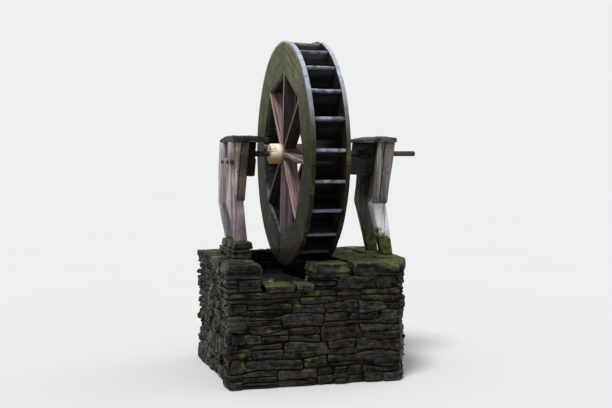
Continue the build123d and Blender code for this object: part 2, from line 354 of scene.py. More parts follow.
def board_finish(
    name,
    pale,
    dark,
    lines=120.0,
    splits=0.5,
    tones=(0.74, 1.2),
    fibres=(0.62, 1.18),
    tint=(0.95, 0.96, 0.86),
    stained=0.5,
    edge_colour=(0.4, 0.36, 0.3),
    edge_wear=0.5,
    rim=None,
    darker_above=None,
    damp=(2.0, 0.0, 0.3),
    wet_colour=(0.45, 0.44, 0.42),
    gloss=0.15,
    wet_sheen=None,
    moss=(0.0, 0.0, -1.0),
):
    """Weathered wood with streaks, splits, wetness, moss and worn edges, and painted highlights,
    reflections and shade where they are given.
    """
    nodes = Finish(name)
    position = nodes.where()
    level = nodes.part(position, 2)
    grain = nodes.group("board_grain", lines, splits)
    colour = nodes.mix(nodes.between(grain["Streaks"], 0.32, 0.66), dark, pale)
    colour = nodes.shade(colour, nodes.between(grain["Fibres"], 0.3, 0.7, *fibres))
    colour = nodes.shade(colour, nodes.between(nodes.attribute("tone"), 0.0, 1.0, *tones))
    tinted = nodes.between(nodes.noise(position, (19.0, 19.0, 8.0), 7.0, 0.72), 0.42, 0.62)
    colour = nodes.tint(tinted, colour, tint)
    stains = nodes.between(nodes.noise(position, 5.5, 6.0, 0.6), 0.48, 0.68)
    colour = nodes.mix(nodes.times(stains, stained), colour, darkened(dark, 0.45))
    edge = nodes.group("worn_edge", nodes.attribute("edge"), edge_wear)["Mask"]
    colour = nodes.mix(nodes.times(edge, 0.8), colour, edge_colour)
    if rim:
        # The rim's pale is partly bleaching and partly a painted highlight, kept to the upper part as if
        # lit from above.
        rim_colour, least, grey_below, palest_above = rim
        bleach_and_highlight = nodes.between(nodes.noise(position, 30.0, 4.0, 0.6), 0.35, 0.62, least, 1.0)
        bleach_and_highlight = nodes.times(bleach_and_highlight, nodes.between(level, grey_below, palest_above))
        colour = nodes.mix(nodes.times(bleach_and_highlight, nodes.attribute("rim")), colour, rim_colour)
    if darker_above:
        # Darker above the lowest level, where boards cover the piece.
        lowest, shade = darker_above
        ragged = nodes.swing(nodes.noise(position, (70.0, 70.0, 9.0), 3.0, 0.6), 0.09)
        under_boards = nodes.between(nodes.plus(level, ragged), lowest, lowest + 0.02)
        colour = nodes.tint(under_boards, colour, shade)
    colour = nodes.mix(grain["Splits"], colour, darkened(dark, 0.2))
    # Damp darkens the wood. On the wheel's sides this darkening, low down and on the inner faces, is
    # partly painted shade.
    wet = nodes.math("MAXIMUM", nodes.group("damp", *damp)["Mask"], nodes.attribute("soaked"))
    colour = nodes.tint(wet, colour, wet_colour)
    if wet_sheen:
        # Painted reflection: a pale bluish reflection of the sky on the wet inner edge, low down.
        sheen_below, sheen_colour = wet_sheen
        low_down = nodes.between(level, sheen_below - 0.12, sheen_below, 0.85, 0.0)
        broken = nodes.between(nodes.noise(position, 24.0, 4.0, 0.6), 0.34, 0.58, 0.35, 1.0)
        painted_sheen = nodes.times(low_down, broken, nodes.attribute("inner_edge"))
        colour = nodes.mix(painted_sheen, colour, sheen_colour)
    height = grain["Height"]
    roughness = nodes.between(grain["Streaks"], 0.3, 0.7, 0.66, 0.92)
    roughness = nodes.minus(roughness, nodes.times(wet, 0.25))
    coat = nodes.times(wet, gloss)
    if moss[0] > 0:
        growth = nodes.group("moss", *moss)
        colour = nodes.mix(growth["Mask"], colour, growth["Colour"])
        height = nodes.plus(height, nodes.times(growth["Height"], 1.5))
        roughness = nodes.math("MAXIMUM", roughness, nodes.times(growth["Mask"], 0.92))
        coat = nodes.times(coat, nodes.minus(1.0, growth["Mask"]))
    values = {"Base Color": colour, "Roughness": roughness, "Coat Weight": coat}
    values |= {"Coat Roughness": 0.2, "Specular IOR Level": 0.02}
    return nodes.surface(values, height, BOARD_RELIEF, 0.9)


# %% The finishes of the wheel
# The wheel's sides: the rim's bluish pale is partly a painted highlight, the strong darkening low down
# and on the inner faces is partly painted shade, and the bluish film on the lower inner edges is a
# painted reflection of the sky.
olive_board = board_finish(
    "olive_shroud_board", (0.165, 0.182, 0.115), (0.1, 0.111, 0.07), lines=85.0,
    tones=(0.86, 1.12), tint=(1.34, 1.1, 1.2), edge_colour=(0.2, 0.2, 0.15),
    rim=((0.44, 0.5, 0.62), 0.55, 1.1, 1.42), damp=(1.52, 0.9, 0.3),
    wet_colour=(0.145, 0.12, 0.1), gloss=0.04, wet_sheen=(0.92, (0.25, 0.31, 0.37)),
    moss=(0.42, 0.0, -1.0),
)
# The bucket lips' bluish pale is a painted highlight, palest high up and gone low down.
soaked_board = board_finish(
    "soaked_bucket_board", (0.048, 0.044, 0.042), (0.013, 0.012, 0.012),
    edge_colour=(0.09, 0.09, 0.09), rim=((0.3, 0.355, 0.49), 0.2, 0.35, 1.3),
    damp=(3.0, 2.0, 0.1), wet_colour=(0.85, 0.85, 0.88), gloss=0.35,
)
# The wide range of tones carries the painted light and shade of single spokes.
spoke_board = board_finish(
    "mauve_spoke_board", (0.25, 0.187, 0.207), (0.082, 0.058, 0.065), tones=(0.2, 1.6),
    tint=(1.16, 0.93, 0.72), edge_colour=(0.56, 0.46, 0.4), edge_wear=0.85,
    damp=(1.5, 0.45, 0.35), wet_colour=(0.68, 0.68, 0.79), gloss=0.08,
)
print("finishes", olive_board.name, soaked_board.name, spoke_board.name)

# %% [markdown]
# ## Blocks with rounded edges
# A board and a stone are the same thing to build: a block whose edges are rounded, laid on a grid
# that is fine enough to be bent. A cube with a bevel modifier would do, but its faces stay huge and
# nothing can be bent or chipped. Here the grid's lines crowd together at the edges, and every point
# knows how near to an edge it is, which the finishes use for wear.

# %% Rounded blocks


def lines_across(size, rounding, step):
    """Grid lines from one side of a block to the other, close together at its edges."""
    flat = size / 2 - rounding
    count = max(1, round(2 * flat / step))
    inner = [flat * (2 * i / count - 1) for i in range(count + 1)]
    outer = size / 2 - 0.3 * rounding
    return np.array([-size / 2, -outer, *inner, outer, size / 2])


@lru_cache(maxsize=None)
def block_grid(*counts):
    """Surface points of a grid box, as rows of three line numbers, and its outward quads."""
    number = {}
    quads = []
    for axis in range(3):
        second, third = (axis + 1) % 3, (axis + 2) % 3
        for side in (0, counts[axis] - 1):
            for j in range(counts[second] - 1):
                for k in range(counts[third] - 1):
                    quad = []
                    for step_j, step_k in ((0, 0), (1, 0), (1, 1), (0, 1)):
                        spot = [0, 0, 0]
                        spot[axis] = side
                        spot[second] = j + step_j
                        spot[third] = k + step_k
                        quad.append(number.setdefault(tuple(spot), len(number)))
                    quads.append(quad if side else quad[::-1])
    return np.array(list(number)), np.array(quads)


def rounded_block(size, rounding, steps, snaps=()):
    """Points of a rounded block about the origin, its quads and its nearness to an edge.

    snaps are places along the first axis that get a grid line of their own."""
    lines = [lines_across(s, rounding, step) for s, step in zip(size, steps)]
    for snap in snaps:
        inner = lines[0][2:-2]
        inner[np.argmin(np.abs(inner - snap))] = snap
    spots, quads = block_grid(*(len(line) for line in lines))
    points = np.stack([lines[axis][spots[:, axis]] for axis in range(3)], axis=1)
    limit = np.array(size) / 2 - rounding
    inside = np.clip(points, -limit, limit)
    outside = points - inside
    reach = np.linalg.norm(outside, axis=1, keepdims=True)
    edge = (np.sort(np.abs(outside), axis=1)[:, 1] > 0).astype(float)
    return inside + outside / reach * rounding, quads, edge


def noise_at(points, scale, shift=0.0):
    """Smooth noise, about -1 to 1, at each point. scale is lumps in a metre, one or three values."""
    spots = points * np.array(scale) + shift
    return np.array([noise.noise(Vector(spot)) for spot in spots.tolist()])


def dips(points, scale, shift=0.0):
    """The upper half of a noise: hollows of 0 to 1 with flat stretches between them."""
    return np.clip(noise_at(points, scale, shift), 0, 1)


# %% Meshes as pieces


def store(mesh, name, rows):
    """Keeps one number or one vector for each point, which a finish or a tree reads."""
    rows = np.asarray(rows, np.float32)
    kind, field = ("FLOAT_VECTOR", "vector") if rows.ndim == 2 else ("FLOAT", "value")
    mesh.attributes.new(name, kind, "POINT").data.foreach_set(field, rows.ravel())


def as_piece(name, mesh, sharp_degrees=50, finishes=()):
    """Object at the origin, shaded smooth except at sharp edges."""
    mesh.shade_smooth()
    mesh.set_sharp_from_angle(angle=math.radians(sharp_degrees))
    for finish in finishes:
        mesh.materials.append(finish)
    return add_object(name, mesh)


def shape_piece(name, shape, sharp_degrees=50, finishes=()):
    """Piece made of a finished bmesh."""
    mesh = bpy.data.meshes.new(name)
    shape.to_mesh(mesh)
    shape.free()
    return as_piece(name, mesh, sharp_degrees, finishes)


def joined(name, pieces):
    """Joins pieces that share a material into one."""
    shape = bmesh.new()
    for part in pieces:
        shape.from_mesh(part.data)
    whole = shape_piece(name, shape, finishes=pieces[0].data.materials)
    for part in pieces:
        bpy.data.objects.remove(part)
    return whole


def evaluated_mesh(piece):
    """Plain mesh that the piece's modifiers make."""
    bpy.context.view_layer.update()
    evaluated = piece.evaluated_get(bpy.context.evaluated_depsgraph_get())
    return bpy.data.meshes.new_from_object(evaluated)


class Blocks:
    """Blocks joined into one mesh, with the values that their finish reads."""

    def __init__(self):
        self.points = []
        self.quads = []
        self.values = {"grain": [], "edge": [], "rim": [], "tone": [], "soaked": []}
        self.count = 0

    def add(self, points, quads, grain, edge, rim=0.0, tone=0.5, soaked=0.0):
        self.points.append(points)
        self.quads.append(quads + self.count)
        self.values["grain"].append(grain)
        for name, value in (("edge", edge), ("rim", rim), ("tone", tone), ("soaked", soaked)):
            self.values[name].append(np.broadcast_to(value, len(points)))
        self.count += len(points)
        return self

    def build(self, name, finishes=()):
        mesh = bpy.data.meshes.new(name)
        quads = np.concatenate(self.quads).tolist()
        mesh.from_pydata(np.concatenate(self.points).tolist(), [], quads)
        for label, rows in self.values.items():
            store(mesh, label, np.concatenate(rows))
        return as_piece(name, mesh, finishes=finishes)


def settle(piece, body, slot, *nodes):
    """Tells the frame which body the piece rides on and the nodes that it stands for. slot is not used.
    """
    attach(piece, body)
    if nodes:
        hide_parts(*nodes)
    piece.data.calc_loop_triangles()
    print(piece.name, "triangles", len(piece.data.loop_triangles))


# %% [markdown]
# ## Boards in a ring
# The wheel is eightfold: boards of each side, boards of the sole, buckets and spokes all repeat
# around the axle. One board is modelled at the top of the wheel, and a Geometry Nodes tree turns
# copies of it round the hub. The tree gives each copy a tone of its own and a hand-made error: a
# slight turn and a slight shift along the axle, which show at the joints.

# %% Tree: a ring of boards
WHEEL_LOW, WHEEL_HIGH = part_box("left_shroud")
HUB_HEIGHT = (WHEEL_LOW.z + WHEEL_HIGH.z) / 2
RIM_RADIUS = (WHEEL_HIGH.z - WHEEL_LOW.z) / 2
WHEEL_TURN = math.radians(6)
SPOKES = 8
SECTOR = 2 * math.pi / SPOKES


def new_shape_tree(name, inputs):
    """Geometry Nodes tree with named inputs besides its geometry."""
    tree = bpy.data.node_groups.new(name, "GeometryNodeTree")
    tree.is_modifier = True
    tree.interface.new_socket("Geometry", in_out="INPUT", socket_type="NodeSocketGeometry")
    for label, kind in inputs.items():
        tree.interface.new_socket(label, in_out="INPUT", socket_type="NodeSocket" + kind)
    tree.interface.new_socket("Geometry", in_out="OUTPUT", socket_type="NodeSocketGeometry")
    nodes = Nodes(tree)
    return nodes, nodes.add("NodeGroupInput")


def random_number(nodes, low, high, seed):
    """Random float for each element."""
    made = nodes.tree.nodes.new("FunctionNodeRandomValue")
    made.data_type = "FLOAT"
    index = nodes.add("GeometryNodeInputIndex")[0]
    sockets = {socket.identifier: socket for socket in made.inputs}
    nodes.fill(sockets, {"Min_001": low, "Max_001": high, "ID": index, "Seed": seed})
    return next(socket for socket in made.outputs if socket.identifier == "Value_001")


def stored(nodes, geometry, name, value, domain):
    """Keeps a float on each instance or point under a name."""
    values = {"Geometry": geometry, "Name": name, "Value": value}
    return nodes.add("GeometryNodeStoreNamedAttribute", values, data_type="FLOAT", domain=domain)[0]


def put_out_shape(nodes, geometry, material):
    """Ends a tree with the material of its mesh."""
    values = {"Geometry": geometry, "Material": material}
    nodes.add("NodeGroupOutput", {0: nodes.add("GeometryNodeSetMaterial", values)[0]})
    print("tree", nodes.tree.name, "has", len(nodes.tree.nodes), "nodes")


RING_INPUTS = {
    "Count": "Int",
    "First Angle": "Float",
    "Height": "Float",
    "Turn Error": "Float",
    "Side Error": "Float",
    "Seed": "Int",
    "Material": "Material",
}
nodes, given = new_shape_tree("ring_of_boards", RING_INPUTS)
side_error = nodes.times(random_number(nodes, -1.0, 1.0, given["Seed"]), given["Side Error"])
place = nodes.join(side_error, 0.0, given["Height"])
spots = nodes.add("GeometryNodePoints", {"Count": given["Count"], "Position": place})[0]
step = nodes.math("DIVIDE", 2 * math.pi, given["Count"])
turn = nodes.times(nodes.add("GeometryNodeInputIndex")[0], step)
turn_error = random_number(nodes, -1.0, 1.0, nodes.plus(given["Seed"], 1.0))
turn = nodes.plus(turn, given["First Angle"], nodes.times(turn_error, given["Turn Error"]))
rotation = nodes.add("FunctionNodeEulerToRotation", {0: nodes.join(turn)})[0]
values = {"Points": spots, "Instance": given["Geometry"], "Rotation": rotation}
copies = nodes.add("GeometryNodeInstanceOnPoints", values)[0]
own_tone = random_number(nodes, 0.0, 1.0, nodes.plus(given["Seed"], 2.0))
copies = stored(nodes, copies, "board_tone", own_tone, "INSTANCE")
boards = nodes.add("GeometryNodeRealizeInstances", {0: copies})[0]
own_tone = nodes.add("GeometryNodeInputNamedAttribute", {"Name": "board_tone"}, data_type="FLOAT")[0]
put_out_shape(nodes, stored(nodes, boards, "tone", own_tone, "POINT"), given["Material"])


def grown(piece, tree_name, **values):
    """Runs a Geometry Nodes tree on a piece and keeps the result as its plain mesh."""
    modifier = piece.modifiers.new(tree_name, "NODES")
    modifier.node_group = bpy.data.node_groups[tree_name]
    for socket in modifier.node_group.interface.items_tree:
        key = socket.name.lower().replace(" ", "_")
        if socket.in_out == "INPUT" and key in values:
            modifier[socket.identifier] = values[key]
    mesh = evaluated_mesh(piece)
    piece.modifiers.clear()
    first_mesh = piece.data
    piece.data = mesh
    mesh.name = piece.name
    bpy.data.meshes.remove(first_mesh)
    return piece


def ring(piece, first_angle, material, seed, turn_error=0.0, side_error=0.0):
    """Turns the piece's board round the axle."""
    values = {"count": SPOKES, "first_angle": first_angle, "height": HUB_HEIGHT}
    values |= {"turn_error": turn_error, "side_error": side_error}
    return grown(piece, "ring_of_boards", seed=seed, material=material, **values)


print("rim radius", round(RIM_RADIUS, 4), "hub height", round(HUB_HEIGHT, 4))

# %% [markdown]
# ## The sides of the wheel
# Each side is eight straight boards, sawn round outside and left straight inside, so the opening
# has eight sides. The grain runs straight along each board, not round the wheel. The board is a
# block whose length becomes an angle and whose width runs from the straight inner edge to the rim.
# Its outer edge is a little chewed by years of water.

# %% Side boards
INNER_FLAT = 0.370
BOARD_JOINT = 0.001
SHROUD_LENGTH = 0.37
SHROUD_THICKNESS = WHEEL_HIGH.x - WHEEL_LOW.x


def side_board(name, middle_x, seed):
    """One board of a wheel side, at the top of the wheel."""
    width = RIM_RADIUS - INNER_FLAT
    size = (SHROUD_LENGTH, width, SHROUD_THICKNESS)
    local, quads, edge = rounded_block(size, 0.0025, (0.012, 0.012, 0.008))
    half_angle = SECTOR / 2 - BOARD_JOINT / 2 / RIM_RADIUS
    angle = local[:, 0] / (SHROUD_LENGTH / 2) * half_angle
    share = local[:, 1] / width + 0.5
    outer = RIM_RADIUS - 0.0004 - dips(local, (22, 22, 3), seed) * 0.0045
    inner = INNER_FLAT / np.cos(angle)
    radius = inner + (outer - inner) * share
    x = middle_x + local[:, 2] + noise_at(local, (5, 9, 0), seed + 3) * 0.0009
    points = np.stack([x, radius * np.sin(angle), radius * np.cos(angle)], axis=1)
    grain = np.stack([points[:, 1], points[:, 2], local[:, 2]], axis=1)
    rim = (share > 0.985).astype(float)
    # The inner face, towards the buckets, is marked soaked: its darkening is partly wet wood and partly
    # painted shade.
    soaked = (local[:, 2] * -np.sign(middle_x) > 0.45 * SHROUD_THICKNESS).astype(float)
    made = Blocks().add(points, quads, grain, edge, rim, soaked=soaked).build(name)
    store(made.data, "inner_edge", (share < 0.015) & (np.abs(local[:, 2]) < 0.4 * SHROUD_THICKNESS))
    return made


for side, seed in (("left", 11), ("right", 23)):
    low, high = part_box(side + "_shroud")
    piece = side_board(side + "_shroud_boards", (low.x + high.x) / 2, seed)
    ring(piece, WHEEL_TURN + SECTOR / 2, olive_board, seed, turn_error=0.0006, side_error=0.0008)
    settle(piece, "wheel", "shroud_boards", side + "_shroud")

# %% [markdown]
# ## Sole and buckets
# Flat boards close the wheel towards the axle, and slanting boards stand on them as buckets. Their
# lips lie behind their roots, which holds the water as the wheel turns. Both run across the wheel,
# so their grain runs along the axle. They are black with water, and their lips are painted a pale
# bluish highlight that fades lower down.

# %% Sole boards
SOLE_LENGTH = 0.31
SOLE_THICKNESS = 0.018
INSIDE_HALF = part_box("sole_boards")[1].x


def sole_board(name):
    """One board of the sole, mitred at both ends."""
    size = (SOLE_LENGTH, 2 * INSIDE_HALF, SOLE_THICKNESS)
    local, quads, edge = rounded_block(size, 0.0015, (0.02, 0.02, 0.01))
    height = INNER_FLAT + SOLE_THICKNESS / 2 + local[:, 2]
    half = height * math.tan(SECTOR / 2) - BOARD_JOINT / 2
    points = np.stack([-local[:, 1], local[:, 0] / (SOLE_LENGTH / 2) * half, height], axis=1)
    return Blocks().add(points, quads, local[:, [1, 0, 2]], edge).build(name)


piece = ring(sole_board("sole_boards_wet"), WHEEL_TURN + SECTOR / 2, soaked_board, 31)
settle(piece, "wheel", "wet_boards", "sole_boards")

# %% Bucket boards
BUCKET_THICKNESS = 0.014
BUCKET_TRAIL = math.radians(8)
BUCKETS_PER_FLAT = 3
LIP_RADIUS = 0.546


def bucket_board(name, root_radius, seed):
    """One slanting board whose root is at the top of the wheel."""
    root = Vector((0, INNER_FLAT))
    lip = Vector((RIM_RADIUS * math.sin(BUCKET_TRAIL), RIM_RADIUS * math.cos(BUCKET_TRAIL)))
    slope = (lip - root).normalized()

    def distance_to(radius):
        """Distance from the root along the slope to a radius."""
        across = root.dot(slope)
        return -across + math.sqrt(across**2 - root.length_squared + radius**2)

    start, end = distance_to(root_radius), distance_to(LIP_RADIUS)
    size = (2 * INSIDE_HALF - 0.0006, end - start, BUCKET_THICKNESS)
    local, quads, edge = rounded_block(size, 0.002, (0.014, 0.014, 0.007))
    share = local[:, 1] / size[1] + 0.5
    worn_back = dips(local, (30, 4, 4), seed) * 0.005 * (share > 0.9)
    run = start + share * size[1] - worn_back
    cupped = local[:, 2] + noise_at(local, (8, 12, 0), seed) * 0.0008
    y = root.x + slope.x * run - slope.y * cupped
    z = root.y + slope.y * run + slope.x * cupped
    points = np.stack([local[:, 0], y, z], axis=1)
    return Blocks().add(points, quads, local, edge, (share > 0.985).astype(float)).build(name)


bucket_pieces = []
for number in range(BUCKETS_PER_FLAT):
    step = number * SECTOR / BUCKETS_PER_FLAT
    from_flat_middle = abs(SECTOR / 2 - step)
    sole_middle = (INNER_FLAT + SOLE_THICKNESS / 2) / math.cos(from_flat_middle)
    seed = 40 + number
    piece = bucket_board(f"bucket_{number}", sole_middle, seed)
    bucket_pieces.append(ring(piece, WHEEL_TURN + step, soaked_board, seed, turn_error=0.002))
settle(joined("bucket_boards_wet", bucket_pieces), "wheel", "wet_boards", "bucket_boards")

# %% [markdown]
# ## Spokes
# A spoke is a board on edge, let into the hub and pointed to fit a corner of the sole. There is one
# set behind each side of the wheel. Their edges are rubbed to bare tan wood, which draws thin bright
# lines in the dark opening. The point is made by pulling the end of the block back on both sides.
# Spokes whose wide faces look up are painted light and those that look down are painted dark, as
# light from above would show them, and the far set is painted dark as shade inside the wheel, so
# their tones are chosen one by one.

# %% Spoke boards
SPOKE_FOOT = 0.026
SPOKE_TIP = INNER_FLAT / math.cos(SECTOR / 2) - 0.0006
SPOKE_THICKNESS = 0.018
# Painted light and shade: one tone for each spoke, from the first on, light where its faces look up, dark
# where they look down and on the far set.
SPOKE_LIGHT_AND_SHADE = {
    "left": (0.12, 0.04, 0.85, 1.0, 0.97, 0.14, 0.2, 0.75),
    "right": (0.05, 0.0, 0.3, 0.25, 0.1, 0.05, 0.15, 0.2),
}


def spoke(name, low_x, high_x, seed):
    """One spoke, pointing up from the hub."""
    size = (SPOKE_TIP - SPOKE_FOOT, high_x - low_x, SPOKE_THICKNESS)
    local, quads, edge = rounded_block(size, 0.003, (0.016, 0.012, 0.006))
    pulled_back = np.abs(local[:, 2]) * math.tan(SECTOR / 2)
    pointed = np.where(local[:, 0] > size[0] / 2 - 0.01, pulled_back, 0)
    rise = (SPOKE_TIP + SPOKE_FOOT) / 2 + local[:, 0] - pointed
    worn = 1 - 0.05 * dips(local, (9, 20, 20), seed)
    x = (low_x + high_x) / 2 + local[:, 1] * worn
    warped = local[:, 2] + noise_at(local, (4, 0, 0), seed + 5) * 0.0015
    return Blocks().add(np.stack([x, warped, rise], axis=1), quads, local, edge).build(name)


def set_tones(piece, tones):
    """Gives the boards of a ring listed tones, from the first board on."""
    points = len(piece.data.vertices) // len(tones)
    rows = np.repeat(np.array(tones, np.float32), points)
    piece.data.attributes["tone"].data.foreach_set("value", rows)


for side, seed in (("left", 51), ("right", 61)):
    low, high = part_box(side + "_spokes")
    piece = spoke(side + "_spoke_boards", low.x, high.x, seed)
    ring(piece, WHEEL_TURN, spoke_board, seed, turn_error=0.0015)
    set_tones(piece, SPOKE_LIGHT_AND_SHADE[side])
    settle(piece, "wheel", "spoke_boards", side + "_spokes")

# %% [markdown]
# ## Hub and axle
# The hub is a short log, turned by hand, so it is not quite round. Its sawn ends are pale and show
# rings and drying cracks, and its middle is dark. The axle is a rusty steel bar. Both are profiles
# turned about the axle's line. A cylinder with a material would show the same rings, but not the
# uneven barrel.

# %% Turned pieces


def turned(name, profile, segments, unevenness, seed, finish):
    """Solid of (x, radius) points turned about the axle's line. Both ends lie on that line."""
    shape = bmesh.new()
    rings = []
    for x, radius in profile[1:-1]:
        row = []
        for number in range(segments):
            angle = 2 * math.pi * number / segments
            spot = Vector((x * 9, math.cos(angle) * 1.5, math.sin(angle) * 1.5 + seed))
            r = radius * (1 + unevenness * noise.noise(spot))
            row.append(shape.verts.new((x, r * math.cos(angle), HUB_HEIGHT + r * math.sin(angle))))
        rings.append(row)
    for row, after in zip(rings, rings[1:]):
        for number in range(segments):
            following = (number + 1) % segments
            shape.faces.new((row[number], row[following], after[following], after[number]))
    for row, (x, _) in ((rings[0], profile[0]), (rings[-1], profile[-1])):
        pole = shape.verts.new((x, 0, HUB_HEIGHT))
        for number in range(segments):
            shape.faces.new((row[number], pole, row[(number + 1) % segments]))
    bmesh.ops.recalc_face_normals(shape, faces=shape.faces)
    return shape_piece(name, shape, 40, [finish])


def stations(start, end, step):
    """Even places from start to end, both included."""
    count = max(1, round(abs(end - start) / step))
    return [start + (end - start) * i / count for i in range(count + 1)]


# %% The log's finish
PITH = (0.0, 0.004, HUB_HEIGHT - 0.003)
nodes = Finish("hub_log_cream")
from_pith = nodes.vector("SUBTRACT", nodes.where(), PITH)
flattened = nodes.vector("MULTIPLY", from_pith, (0.0, 1.0, 1.0))
away = nodes.add("ShaderNodeVectorMath", {0: flattened}, operation="LENGTH")["Value"]
away = nodes.plus(away, nodes.times(nodes.noise(from_pith, 22.0, 3.0, 0.5), 0.006))
year_rings = nodes.between(nodes.math("SINE", nodes.times(away, 1900.0)), -1.0, 1.0)
angle = nodes.math("ARCTAN2", nodes.part(from_pith, 2), nodes.part(from_pith, 1))
crack_at = nodes.join(angle, nodes.times(away, 9.0))
cracks = nodes.thin_line(nodes.noise(crack_at, 2.4, 1.0, 0.4), 0.006, 0.024)
blotches_and_shade = nodes.between(nodes.noise(from_pith, 30.0, 4.0, 0.6), 0.45, 0.7)
# Painted shade: the lower side of the log turns a darker ochre, as if lit from above, and joins the
# blotches.
painted_shade_low = nodes.between(nodes.part(from_pith, 2), -0.035, 0.025, 0.95, 0.0)
blotches_and_shade = nodes.math("MAXIMUM", nodes.times(blotches_and_shade, 0.35), painted_shade_low)
end_colour = nodes.mix(year_rings, (0.84, 0.62, 0.46), (0.96, 0.86, 0.74))
end_colour = nodes.mix(blotches_and_shade, end_colour, (0.62, 0.33, 0.13))
end_colour = nodes.mix(cracks, end_colour, (0.05, 0.025, 0.012))
fibres = nodes.noise(from_pith, (9.0, 260.0, 260.0), 4.0, 0.6)
checks = nodes.thin_line(nodes.noise(from_pith, (5.0, 60.0, 60.0), 2.0, 0.5), 0.004, 0.018)
from_middle = nodes.math("ABSOLUTE", nodes.part(from_pith, 0))
dark_middle = nodes.between(from_middle, 0.085, 0.112, 1.0, 0.0)
side_colour = nodes.mix(nodes.between(fibres, 0.2, 0.52), (0.8, 0.63, 0.44), (0.96, 0.89, 0.77))
side_colour = nodes.mix(blotches_and_shade, side_colour, (0.44, 0.225, 0.045))
side_colour = nodes.mix(nodes.times(checks, 0.8), side_colour, (0.1, 0.05, 0.02))
side_colour = nodes.mix(dark_middle, side_colour, (0.07, 0.045, 0.03))
at_end = nodes.between(nodes.math("ABSOLUTE", nodes.part(nodes.where("Normal"), 0)), 0.5, 0.8)
end_relief = nodes.times(nodes.minus(nodes.times(year_rings, 0.4), cracks), at_end)
side_relief = nodes.minus(nodes.times(fibres, 0.5), checks)
relief = nodes.plus(end_relief, nodes.times(side_relief, nodes.minus(1.0, at_end)))
values = {"Base Color": nodes.mix(at_end, side_colour, end_colour), "Roughness": 0.7}
hub_finish = nodes.surface(values, relief)

# %% The hub
hub_low, hub_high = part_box("hub")
HUB_RADIUS = (hub_high.z - hub_low.z) / 2
HUB_END = ((0, 0), (0, 0.3), (0, 0.5), (0, 0.7), (0, 0.86), (0.002, 0.95))
profile = [(hub_low.x + inset, share * HUB_RADIUS) for inset, share in HUB_END]
profile += [(x, 0.985 * HUB_RADIUS) for x in stations(hub_low.x + 0.007, hub_high.x - 0.007, 0.01)]
profile += [(hub_high.x - inset, share * HUB_RADIUS) for inset, share in reversed(HUB_END)]
hub_piece = turned("hub_log_turned", profile, 72, 0.03, 4.0, hub_finish)
settle(hub_piece, "wheel", "hub_log", "hub")

# %% The axle and its rust
axle_low, axle_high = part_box("axle")
AXLE_RADIUS = (axle_high.z - axle_low.z) / 2
END_RADIUS = 0.013
END_LENGTH = 0.130
SMALL_BEVEL = 0.002
AXLE_STEP = 0.012


def iron_finish(name, metal, rust, rust_share, roughness=0.45):
    """Old iron: bare metal that shows through patchy rust."""
    nodes = Finish(name)
    patches = nodes.noise(nodes.where(), 55.0, 6.0, 0.65)
    rusty = nodes.between(nodes.plus(patches, rust_share - 0.5), 0.42, 0.58)
    grit = nodes.noise(nodes.where(), 420.0, 3.0, 0.7)
    values = {
        "Base Color": nodes.mix(rusty, metal, nodes.mix(grit, darkened(rust, 0.45), rust)),
        "Metallic": nodes.between(rusty, 0.0, 1.0, 0.85, 0.0),
        "Roughness": nodes.between(rusty, 0.0, 1.0, roughness, 0.85),
    }
    return nodes.surface(values, nodes.weighed((rusty, 0.6), (grit, 0.4)), 0.0008)


shoulder = axle_high.x - END_LENGTH
bar = stations(axle_low.x + SMALL_BEVEL, shoulder - 0.001, AXLE_STEP)
free_end = stations(shoulder + 0.003, axle_high.x - SMALL_BEVEL, AXLE_STEP)
profile = [(axle_low.x, 0), (axle_low.x, AXLE_RADIUS - SMALL_BEVEL)]
profile += [(x, AXLE_RADIUS) for x in bar]
profile += [(shoulder, AXLE_RADIUS - 0.0006), (shoulder, END_RADIUS)]
profile += [(x, END_RADIUS) for x in free_end]
profile += [(axle_high.x, END_RADIUS - SMALL_BEVEL), (axle_high.x, 0)]
rusty_bar = iron_finish("rusty_bar", (0.056, 0.054, 0.053), (0.028, 0.019, 0.016), 0.48)
axle_piece = turned("axle_bar", profile, 40, 0.012, 9.0, rusty_bar)
settle(axle_piece, "wheel", "axle_steel", "axle")

# %% [markdown]
# ## Rough timber of the supports
# The posts, planks and caps are riven or rough-sawn. Their CAD solids have the right shape, but
# edges like a knife. Each is copied, remeshed into small even faces, and then worn: edges are
# rounded off and nicked, and long ridges run with the grain. The remesh is the quick way to get a
# surface that can take wear anywhere. Wear only takes wood away, so a piece stays inside its solid.
# Where one piece rests on another the height is left alone, so that no light shows between them.

# %% Worn copies of solids
LEFT_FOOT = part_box("left_pad")[1].z
RIGHT_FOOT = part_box("right_coping")[1].z
CAP_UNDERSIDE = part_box("left_cap_board")[0].z
BEARING_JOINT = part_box("left_bearing_beam")[1].z
JOINT_LEVELS = (CAP_UNDERSIDE, BEARING_JOINT, LEFT_FOOT, RIGHT_FOOT)
SHARP = math.radians(15)
EDGE_SPACING = 0.006
EDGE_REACH = 0.009
EVEN_CELL = 0.0045


def edge_finder(shape):
    """Search tree over points along the sharp edges of a solid."""
    found = []
    for edge in shape.edges:
        if len(edge.link_faces) == 2 and edge.calc_face_angle() > SHARP:
            start, end = (v.co for v in edge.verts)
            count = max(1, round((end - start).length / EDGE_SPACING))
            found += [start.lerp(end, i / count) for i in range(count + 1)]
    finder = kdtree.KDTree(len(found))
    for number, spot in enumerate(found):
        finder.insert(spot, number)
    finder.balance()
    return finder


def in_even_faces(name, shape):
    """Mesh of a solid's surface in small faces of one size."""
    mesh = bpy.data.meshes.new(name)
    shape.to_mesh(mesh)
    shape.free()
    piece = add_object(name, mesh)
    remesh = piece.modifiers.new("even_faces", "REMESH")
    remesh.mode = "VOXEL"
    remesh.voxel_size = EVEN_CELL
    even = evaluated_mesh(piece)
    bpy.data.objects.remove(piece)
    bpy.data.meshes.remove(mesh)
    return even


